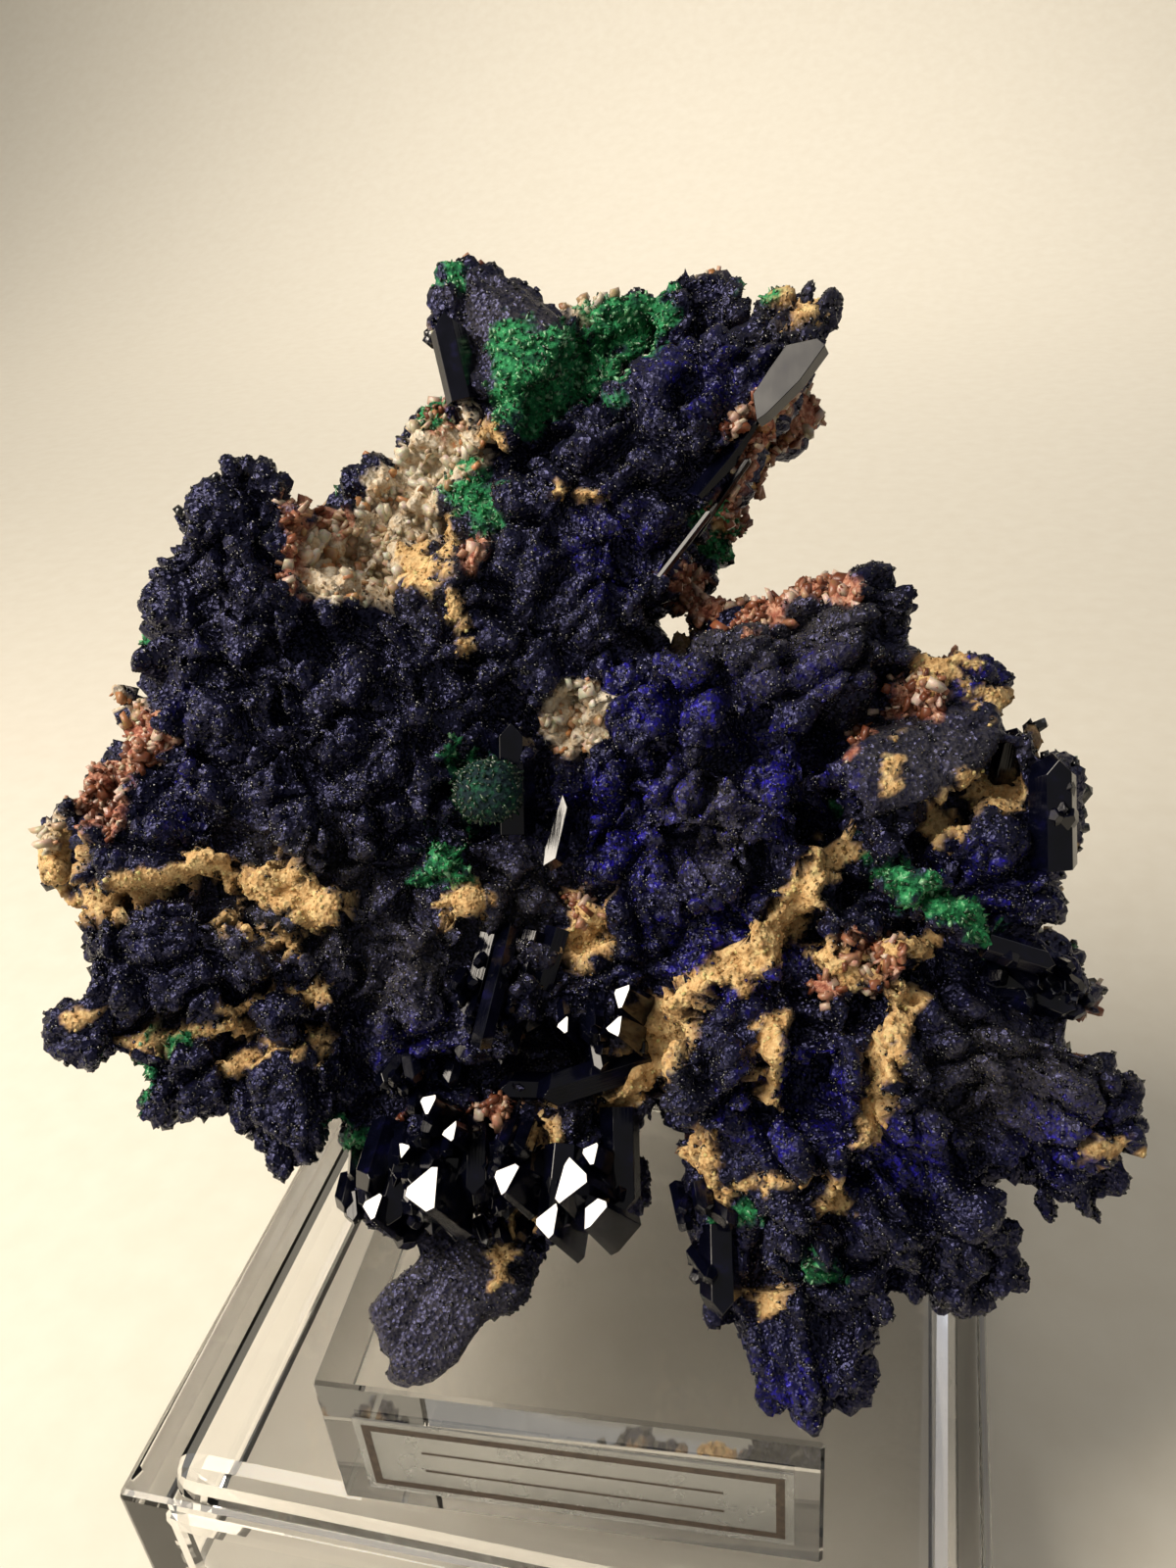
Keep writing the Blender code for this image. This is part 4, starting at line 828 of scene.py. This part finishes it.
def minerals(places, faces, shares, calm, seen, far, growth, polished):
    """Small crystals and grains that cover the rock, one object for each mineral and side."""
    corners, outward, area = surface_of(places, faces)
    first = faces[:, 0]
    own = {name: values[first] for name, values in shares.items()}
    earthy = np.clip(own["malachite"] + own["ochre"] + own["pale"] + own["rust"], 0.0, 1.0)
    front = seen[first] > 0.5
    frames = growth_frames()[growth[first]]
    grow = frames[:, 2]
    inward = np.minimum(np.einsum("ij,ij->i", grow, outward), 0.0)
    grow = grow - outward * inward[:, None]
    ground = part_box("azurite_cluster")[0][2] + GROUND_CLEARANCE * MM
    raised = corners[:, :, 2].min(axis=1) > ground
    pieces = []

    def clear_of_polished(spots):
        """Whether each spot is outside the polished crystals, and 0.12 mm off their faces."""
        keep = np.ones(len(spots), bool)
        for index, spot in enumerate(spots):
            place, normal, _, away = polished.find_nearest(Vector(spot), 4 * MM)
            if place is not None and (Vector(spot) - place).dot(normal) < 0.12 * MM:
                keep[index] = False
        return keep

    def cover(name, form, weights, number, low, high, shape, along, tilt, tint, made):
        """Plant a number of one form, from low to high in length (mm), by weight. Along is the
        share of the growth in each one's direction, the rest is the surface's, and tilt leans it."""
        chosen = pick(weights * area * raised, number)
        spots = spots_on(corners, chosen)
        keep = clear_of_polished(spots)
        chosen = chosen[keep]
        spots = spots[keep]
        length = np.exp(RANDOM.uniform(math.log(low), math.log(high), len(chosen)))[:, None]
        sizes = length * np.array(shape) * RANDOM.uniform(0.8, 1.2, (len(chosen), 3))
        upright = tilted(outward[chosen] * (1.0 - along) + grow[chosen] * along, tilt)
        side = RANDOM.normal(0.0, 1.0, (len(chosen), 3)) * (1.0 - along) + frames[chosen, 0] * along
        piece = planted(name, form, spots, upright, side, sizes, tint(chosen))
        give(piece, made)
        pieces.append(piece)
        return piece

    def blue(chosen):
        chance = RANDOM.random(len(chosen)) ** 2.2
        # brighter in the patches painted as light shining through the azurite
        return np.clip(chance * 0.75 + own["vivid"][chosen] * 0.28, 0.0, 1.0)

    def any_tone(chosen):
        return RANDOM.random(len(chosen))

    def green_tone_shaded_in_ball(chosen):
        # needles on the knob are painted darker, as shade
        return RANDOM.random(len(chosen)) * (1.0 - 0.85 * own["ball"][chosen])

    bare = (1.0 - earthy) * (1.0 - 0.75 * calm[first]) * (1.0 - own["ball"])
    # azurite that grew freely, the size of sugar: glassy faces, near black with blue glints
    druse = grain_material("drusy azurite crystals", AZURITE_STOPS, 0.14, 1.75, 0.25)
    for number in range(2):
        cover("druse_front_%d" % (number + 1), WEDGE, bare * front, 16000, 0.22, 0.6,
              (0.9, 0.75, 0.45), 0.5, 0.42, blue, druse)
    cover("druse_back", WEDGE, bare * ~front, 8000, 0.45, 1.1, (0.9, 0.7, 0.45), 0.5, 0.25, blue,
          druse)
    cover("blocks_back", BLOCK, bare * far[first], 1800, 0.9, 2.0, (0.8, 0.7, 0.7), 0.6, 0.2, blue,
          druse)
    # dust that settled on it: dull beige specks
    dusty = grain_material("settled dust grains", DUST_STOPS, 0.9, 1.5, 0.2)
    cover("dust_grains", GRAIN, bare * own["dust"] ** 2 * front, 3000, 0.12, 0.22, (1, 1, 1), 0.0,
          0.6, any_tone, dusty)
    # malachite that grew in tufts of needles: deep green, silky, pale glints along them; those on the
    # knob are painted darker as shade
    velvet = grain_material("velvety malachite needles", MALACHITE_STOPS, 0.3, 1.75, 0.3)
    cover("malachite_tufts", WEDGE, own["malachite"], 7000, 0.3, 0.8, (0.7, 0.5, 0.9), 0.0, 0.6,
          green_tone_shaded_in_ball, velvet)
    # iron-stained clay weathered into the joints: earthy yellow brown without gloss
    crust = grain_material("earthy ochre crust", OCHRE_STOPS, 0.95, 1.5, 0.3)
    ochre = cover("ochre_grains", GRAIN, own["ochre"] * (1 - own["malachite"]), 5500, 0.28, 0.75,
                  (1, 1, 0.8), 0.0, 0.6, any_tone, crust)
    ochre.data.shade_smooth()
    # calcite matrix grown as small blunt crystals: milky, with a waxy gloss and orange tips
    cream = grain_material("pale matrix crystals", PALE_STOPS, 0.35, 1.55, 0.5)
    cover("pale_crystals", BLOCK, own["pale"] * (1 - own["ochre"]), 3600, 0.4, 1.6,
          (0.8, 0.6, 0.9), 0.0, 0.6, any_tone, cream)
    # the same matrix stained through by iron: salmon pink to rust red
    pink = grain_material("rust and pink matrix crystals", RUST_STOPS, 0.35, 1.55, 0.5)
    cover("rust_crystals", BLOCK, own["rust"] * (1 - own["pale"]), 3200, 0.4, 1.5,
          (0.8, 0.5, 0.9), 0.0, 0.6, any_tone, pink)
    return pieces


def key_flash(place):
    """Direction of a face that throws the key light into the viewer's eye."""
    return ((EYE_PLACE - place).normalized() + (KEY_PLACE - place).normalized()).normalized()


# Polished crystals: foot and tip on the sheet, how far the tip stands off the rock, width,
# thickness, and turn about the length in degrees (None turns a side to flash in the key light)
POLISHED = [
    # beside the top wedge
    ((47.4, 41.0), (45.2, 31.6), 0.9, 3.8, 4.0, 10),
    # thin ones along the right edge of the great blade
    ((66.0, 60.6), (72.6, 52.0), 0.2, 0.9, 1.2, 20),
    ((71.0, 54.6), (76.6, 46.6), 0.2, 0.9, 1.2, 20),
    # dark column of the middle
    ((52.4, 85.0), (52.2, 73.0), -0.4, 4.6, 4.4, 0),
    # striated prisms
    ((50.4, 95.4), (46.9, 109.0), 3.4, 3.4, 4.2, None),
    ((52.0, 95.0), (48.9, 107.4), 3.8, 2.6, 3.4, 30),
    ((54.6, 95.2), (50.9, 109.4), 4.4, 3.0, 4.2, None),
    ((57.0, 94.8), (53.6, 106.0), 3.4, 3.0, 4.0, 20),
    # tabular crystals under them
    ((66.0, 108.4), (54.4, 112.0), 2.6, 4.0, 3.0, 10),
    ((57.0, 111.0), (50.6, 110.8), 2.6, 3.2, 3.0, 0),
    # dark ones between the flashing faces of the foot
    ((39.6, 115.0), (37.4, 122.0), 2.0, 3.8, 4.0, 20),
    ((42.0, 116.6), (39.6, 125.4), 2.4, 4.2, 4.4, 0),
    ((45.6, 117.6), (44.6, 126.0), 2.6, 4.0, 4.4, 15),
    ((48.6, 114.6), (48.4, 123.4), 2.4, 3.8, 4.0, 10),
    ((51.4, 116.4), (51.8, 124.6), 2.4, 3.6, 4.0, 40),
    ((54.6, 115.4), (54.0, 122.4), 2.4, 3.6, 4.0, 25),
    ((57.6, 117.0), (56.6, 127.0), 2.6, 4.2, 4.4, 0),
    ((60.6, 118.0), (60.0, 126.4), 2.6, 4.4, 4.6, 30),
    ((63.2, 113.0), (63.4, 124.6), 1.6, 4.2, 4.6, 10),
    # right edge, black plates and the smooth prism of the lower right
    ((107.5, 88.4), (107.3, 76.4), 0.6, 5.0, 4.6, 0),
    ((102.4, 80.6), (103.8, 74.0), 0.3, 3.8, 2.2, 10),
    ((101.0, 99.6), (110.4, 103.2), 0.8, 3.6, 2.6, 0),
    ((100.4, 96.2), (107.6, 98.4), 0.8, 3.2, 2.6, 10),
    ((73.4, 125.0), (73.6, 135.0), 1.0, 4.4, 4.4, 0),
]
# Three-sided ends that flash in the key light: middle on the sheet, size, turn in degrees,
# how far they stand off the rock
FLASHES = [
    ((43.2, 121.2), 2.6, 8, 4.2), ((51.5, 120.2), 1.9, 30, 3.8), ((58.2, 120.3), 2.2, 70, 4.2),
    ((60.3, 117.6), 1.3, 20, 3.4), ((60.6, 123.5), 1.9, 50, 4.0), ((55.9, 124.6), 1.7, 10, 3.8),
    ((43.7, 112.6), 1.3, 40, 2.8), ((46.0, 115.5), 1.1, 15, 2.8), ((41.2, 117.2), 0.9, 60, 3.0),
    ((38.0, 123.0), 1.4, 25, 3.2), ((44.8, 124.6), 1.0, 80, 3.4), ((63.4, 101.5), 1.3, 35, 2.6),
    ((57.5, 104.5), 1.0, 10, 2.4), ((62.8, 104.8), 1.2, 0, 2.6),
]
# Flat polished faces: corners on the sheet, direction faced (right, down, towards the eye, and
# the share of a flash in the key light), how far their middle stands off the rock, depth,
# lines per mm and finish
PLATES = [
    # bright bevel of the great blade, and its dark edge below
    ([(76.8, 40.2), (78.5, 37.6), (80.2, 35.2), (83.4, 34.5), (84.2, 35.2), (81.6, 38.8),
      (78.2, 42.2), (77.2, 42.9)], (0.2, 0.0, 0.0, 1.0), 1.2, 2.0, 0.6, 3),
    ([(77.2, 43.0), (77.7, 42.9), (75.0, 47.6), (71.6, 51.0), (71.2, 50.6), (74.4, 46.8)],
     (0.5, 0.35, 0.8, 0.0), 0.4, 2.0, 2.0, 0),
    # lit striated face beside the dark column
    ([(57.4, 81.0), (57.9, 82.4), (56.7, 87.6), (55.4, 88.4), (55.6, 86.6)],
     (0.0, 0.0, 0.0, 1.0), 1.2, 2.0, 3.0, 2),
]
# Close stands of small dark crystals: middle on the sheet, half width, half height, number,
# growth on the sheet (right, down), and least and greatest width
THICKETS = [
    ((49.0, 119.6), 14.0, 6.0, 80, (-0.1, 1.0), 1.4, 3.0),
    ((50.0, 102.0), 3.6, 5.6, 16, (-0.3, 1.0), 1.0, 2.0),
    ((60.0, 104.6), 4.4, 3.6, 12, (0.2, 1.0), 1.2, 2.2),
    ((70.6, 124.0), 2.2, 6.0, 8, (0.1, 1.0), 1.2, 2.4),
    ((43.0, 108.6), 3.4, 2.0, 8, (-0.3, 1.0), 1.2, 2.2),
    ((107.8, 84.0), 1.4, 4.0, 6, (0.2, -1.0), 1.4, 2.4),
    ((105.6, 99.8), 6.0, 3.0, 22, (1.0, 0.4), 1.4, 2.8),
]


def sight_to(across, drop):
    """Unit vector from the eye through a sheet place."""
    return (off_sheet((across, drop, 0.0)) - EYE_PLACE).normalized()


def met(tree, across, drop):
    """How far off the rock is along the sight line through a sheet place, or None beside it."""
    return tree.ray_cast(EYE_PLACE, sight_to(across, drop))[3]


def size_at(place):
    """How much larger a thing is there than it shows on the sheet."""
    return (place - EYE_PLACE).dot(AHEAD) / (SHEET_DISTANCE * MM)


def cut(shape, place, direction):
    """Cut a closed convex shape by a plane and close it again."""
    everything = shape.verts[:] + shape.edges[:] + shape.faces[:]
    bmesh.ops.bisect_plane(shape, geom=everything, plane_co=place, plane_no=direction,
                           clear_outer=True)
    rim = [edge for edge in shape.edges if len(edge.link_faces) == 1]
    if rim:
        bmesh.ops.edgeloop_fill(shape, edges=rim)


def closed_prism(start, along, length, spokes, taper=1.0):
    """Closed prism whose rings follow the spokes, its far ring scaled by the taper."""
    own = bmesh.new()
    rings = []
    for reach, share in ((0.0, 1.0), (length, taper)):
        rings.append([own.verts.new(start + along * reach + spoke * share) for spoke in spokes])
    own.faces.new(rings[0][::-1])
    own.faces.new(rings[1])
    for corner in range(len(spokes)):
        after = (corner + 1) % len(spokes)
        own.faces.new((rings[0][corner], rings[0][after], rings[1][after], rings[1][corner]))
    bmesh.ops.recalc_face_normals(own, faces=own.faces)
    return own


def finished(shape, own, start, side, face, along, lines=5.0, finish=0, front=None):
    """Break the edges of a crystal, note how its lines run, and add it to the others. Only its
    front face has the finish; the rest of it is dark."""
    own.normal_update()
    for wall in own.faces:
        wall.material_index = finish if front is not None and wall.normal.dot(front) > 0.99 else 0
    bmesh.ops.bevel(own, geom=own.edges[:], offset=EDGE_BREAK * MM, segments=1, affect="EDGES")
    layer = own.verts.layers.float_vector.new("along")
    for vert in own.verts:
        arm = (vert.co - start) / MM
        vert[layer] = Vector((arm.dot(side) * lines, arm.dot(face) * lines, arm.dot(along) * 0.15))
    mesh = bpy.data.meshes.new("crystal")
    own.to_mesh(mesh)
    own.free()
    shape.from_mesh(mesh)
    bpy.data.meshes.remove(mesh)


def polished_crystal(shape, tree, foot, tip, rise, width, thickness, turn):
    """Six-sided crystal with a chisel end, its foot in the rock and its tip standing off it."""
    reach = met(tree, *foot)
    tip_reach = met(tree, *tip) or reach
    # a tip that shows in front of something far off stays near its foot's depth
    limit = math.dist(foot, tip) * 0.8 * MM
    tip_reach = min(max(tip_reach, reach - limit), reach + limit)
    start = EYE_PLACE + sight_to(*foot) * (reach + BURIED * MM)
    end = EYE_PLACE + sight_to(*tip) * (tip_reach - rise * MM)
    scale = size_at(end) * MM
    length = (end - start).length
    along = (end - start) / length
    side = along.cross(-AHEAD).normalized()
    face = side.cross(along)
    if turn is None:
        flash = key_flash(end)
        # half a side's angle further, so that a side and not a corner faces the flash
        turn = math.degrees(math.atan2(flash.dot(face), flash.dot(side))) - 30.0
    spokes = []
    for corner in range(6):
        cosine, sine = turned(corner * 60.0 + turn)
        spokes.append((side * cosine * width / 2 + face * sine * thickness / 2) * scale)
    own = closed_prism(start, along, length, spokes)
    # a chisel end of two slopes, with its front cut back
    for sign in (1.0, -1.0):
        cut(own, end - along * width * 0.06 * scale, (along + side * sign * 1.1 + face * 0.25))
    cut(own, end - along * thickness * 0.12 * scale, along - face * 0.9)
    finished(shape, own, start, side, face, along)


def flashing_end(shape, tree, middle, size, turn, rise):
    """Crystal end with a three-sided face, its corners cut, that mirrors the key light."""
    reach = met(tree, *middle)
    top = EYE_PLACE + sight_to(*middle) * (reach - rise * MM)
    along = key_flash(top)
    side = along.cross(Vector((0.0, 0.0, 1.0))).normalized()
    face = side.cross(along)
    scale = size_at(top) * MM
    spokes = []
    for corner in range(6):
        # corners drawn together in pairs, which leaves three long sides and three short ones
        cosine, sine = turned(corner * 60.0 + turn + (19.0 if corner % 2 else -19.0))
        spoke = size * RANDOM.uniform(0.72, 1.06)
        spokes.append((side * cosine * 0.85 + face * sine * 1.15) * spoke * scale)
    length = (rise + BURIED) * MM * 1.3
    wide = [spoke * FLARE for spoke in spokes]
    own = closed_prism(top - along * length, along, length, wide, 1.0 / FLARE)
    finished(shape, own, top, side, face, along, 1.0, 1, along)


def polished_plate(shape, tree, outline, faced, rise, depth, lines, finish):
    """Flat face on the rock whose outline is seen as drawn, with its own thickness behind."""
    across = sum(corner[0] for corner in outline) / len(outline)
    drop = sum(corner[1] for corner in outline) / len(outline)
    middle = EYE_PLACE + sight_to(across, drop) * (met(tree, across, drop) - rise * MM)
    lean = RIGHT * faced[0] + DOWN * faced[1] - AHEAD * faced[2]
    normal = (key_flash(middle) * faced[3] + lean).normalized()
    own = bmesh.new()
    front = []
    for corner in outline:
        sight = sight_to(*corner)
        reach = (middle - EYE_PLACE).dot(normal) / sight.dot(normal)
        front.append(own.verts.new(EYE_PLACE + sight * reach))
    back = [own.verts.new(vert.co - normal * depth * MM) for vert in front]
    own.faces.new(front)
    own.faces.new(back[::-1])
    for corner in range(len(outline)):
        after = (corner + 1) % len(outline)
        own.faces.new((front[after], front[corner], back[corner], back[after]))
    bmesh.ops.recalc_face_normals(own, faces=own.faces)
    side = normal.cross(DOWN).normalized()
    finished(shape, own, middle, side, normal, side.cross(normal), lines, finish, normal)


def thicket(shape, tree, middle, half_width, half_height, number, growth, thinnest, widest):
    """Many small crystals that stand close together and lean much the same way."""
    for _ in range(number):
        angle = RANDOM.uniform(0.0, 2.0 * math.pi)
        reach = math.sqrt(RANDOM.random())
        foot = (middle[0] + half_width * reach * math.cos(angle),
                middle[1] + half_height * reach * math.sin(angle))
        width = RANDOM.uniform(thinnest, widest)
        length = width * RANDOM.uniform(1.0, 1.7)
        tip = (foot[0] + (growth[0] + RANDOM.normal(0.0, 0.3)) * length,
               foot[1] + (growth[1] + RANDOM.normal(0.0, 0.3)) * length)
        if met(tree, *foot) and met(tree, *tip):
            polished_crystal(shape, tree, foot, tip, RANDOM.uniform(0.8, 1.8), width,
                             width * RANDOM.uniform(0.7, 1.1), RANDOM.uniform(0.0, 60.0))


def polished_crystals(rock):
    """The larger clean crystals, as one object, and their search tree."""
    shape = bmesh.new()
    shape.verts.layers.float_vector.new("along")
    for row in POLISHED:
        polished_crystal(shape, rock, *row)
    for row in THICKETS:
        thicket(shape, rock, *row)
    for row in FLASHES:
        flashing_end(shape, rock, *row)
    for row in PLATES:
        polished_plate(shape, rock, *row)
    tree = BVHTree.FromBMesh(shape)
    piece = drawn_object("polished_crystals", shape)
    for finish in (("dark azurite prism faces", 0.22, 0.05, 0.22, 0.05),
                   ("mirror azurite ends", 1.0, 0.0, 0.06, 0.01),
                   ("striated azurite faces", 0.5, 0.12, 0.3, 0.12),
                   ("frosted azurite faces", 0.3, 0.35, 0.5, 0.04)):
        piece.data.materials.append(polished_azurite(*finish))
    return piece, tree


def label_print():
    """Border and two writing rules printed on the label's film."""
    turn = Matrix.Rotation(math.radians(BLOCK_TURN), 4, "Z")
    corner = Matrix.Translation(BASE_CORNER + Vector((*BLOCK_CORNER, GAP)) * MM) @ turn
    front = -GAP - LABEL_THICKNESS - 0.02
    left = LABEL_START + PRINT_MARGIN
    right = LABEL_START + LABEL_WIDTH - PRINT_MARGIN
    low = LABEL_LOW + 0.9
    high = LABEL_LOW + LABEL_HEIGHT - PRINT_MARGIN
    line = BORDER_LINE
    bars = [
        (left, right, low, low + line), (left, right, high - line, high),
        (left, left + line, low + line, high - line), (right - line, right, low + line, high - line),
    ]
    indent = (right - left) * RULE_INDENT
    for rise in RULE_RISES:
        bars.append((left + indent, right - indent, low + rise, low + rise + RULE_LINE))
    shape = bmesh.new()
    for x0, x1, z0, z1 in bars:
        made = bmesh.ops.create_cube(shape, size=1.0)["verts"]
        bmesh.ops.scale(shape, vec=Vector((x1 - x0, PRINT_THICKNESS, z1 - z0)) * MM, verts=made)
        bmesh.ops.translate(shape, vec=Vector(((x0 + x1) / 2, front, (z0 + z1) / 2)) * MM,
                            verts=made)
    bmesh.ops.transform(shape, matrix=corner, verts=shape.verts)
    piece = drawn_object("label_print", shape)
    give(piece, label_ink())
    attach(piece, "root")


def floor():
    """Plain pale ground that the base stands on, sweeping up far behind."""
    rows = [(SWEEP_FRONT, 0.0), (SWEEP_BACK - SWEEP_RADIUS, 0.0)]
    for step in range(1, SWEEP_STEPS + 1):
        cosine, sine = turned(step * 90.0 / SWEEP_STEPS)
        rows.append((SWEEP_BACK - SWEEP_RADIUS + SWEEP_RADIUS * sine, SWEEP_RADIUS * (1.0 - cosine)))
    rows.append((SWEEP_BACK, SWEEP_TOP))
    shape = bmesh.new()
    before = None
    for along, height in rows:
        pair = [shape.verts.new((side * SWEEP_WIDTH / 2, along, height)) for side in (-1.0, 1.0)]
        if before:
            shape.faces.new((before[0], before[1], pair[1], pair[0])).smooth = True
        before = pair
    piece = drawn_object("floor", shape)
    piece.location.z = -0.02 * MM
    give(piece, floor_paint())


def area_light(name, place, target, side, power, colour):
    """Square soft light that looks at a target."""
    lamp = bpy.data.lights.new(name, "AREA")
    lamp.size = side
    lamp.energy = power
    lamp.color = linear(colour)[:3]
    made = bpy.data.objects.new(name, lamp)
    bpy.context.collection.objects.link(made)
    made.location = place
    made.visible_camera = False
    made.rotation_mode = "QUATERNION"
    made.rotation_quaternion = (place - target).to_track_quat("Z", "Y")
    return made


def studio():
    """Warm key from the upper left, a weaker one lower down that reaches under the specimen, weak
    fill from behind, a lit backdrop and a pale even sky."""
    middle = Vector((0.0, 0.0, 0.06))
    area_light("key", KEY_PLACE, middle, KEY_SIDE, KEY_POWER, "#fff4e4")
    area_light("low", LOW_PLACE, Vector((0.0, 0.0, 0.02)), LOW_SIDE, LOW_POWER, "#fff2e0")
    area_light("fill", FILL_PLACE, middle, FILL_SIDE, FILL_POWER, "#e9eeff")
    behind = area_light("backdrop", BACKDROP_LIGHT_PLACE, Vector((-0.14, 0.85, 0.0)),
                        BACKDROP_LIGHT_SIDE, BACKDROP_POWER, "#fff6ea")
    behind.data.spread = math.radians(BACKDROP_LIGHT_SPREAD)
    behind.visible_glossy = False
    behind.visible_transmission = False
    world = bpy.data.worlds.new("studio")
    bpy.context.scene.world = world
    world.use_nodes = True
    back = world.node_tree.nodes["Background"]
    back.inputs["Color"].default_value = linear("#f4f0e8")
    back.inputs["Strength"].default_value = SKY_STRENGTH
    bpy.context.scene.view_settings.view_transform = "Standard"


def camera():
    """The photo's viewpoint."""
    data = bpy.data.cameras.new("camera")
    data.sensor_width = SENSOR
    data.lens = FOCAL_LENGTH
    data.clip_start = 5.0 * MM
    made = bpy.data.objects.new("camera", data)
    bpy.context.collection.objects.link(made)
    stance = Matrix((RIGHT, -DOWN, -AHEAD)).transposed().to_4x4()
    stance.translation = EYE_PLACE
    made.matrix_world = stance
    bpy.context.scene.camera = made


def main():
    """Dress every piece of the object and set the scene."""
    camera()
    studio()
    floor()
    places, faces, normals, rock = fine_solid()
    polished, tree = polished_crystals(rock)
    shares, calm, seen, far = patches(places, rock)
    growth, inside = growth_of(places, on_sheet(places))
    places = grown_surface(places, normals, shares, calm, seen, growth, inside, tree, rock)
    surface = rock_pieces(places, faces, shares)
    grains = minerals(places, faces, shares, calm, seen, far, growth, tree)
    for piece in [polished] + surface + grains:
        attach(piece, "root")
    for piece in surface:
        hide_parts("azurite_cluster")
    label_print()
    give(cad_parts["display_block"], clear_acrylic())
    give(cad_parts["display_base"], clear_acrylic())
    give(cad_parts["label"], label_film())


main()
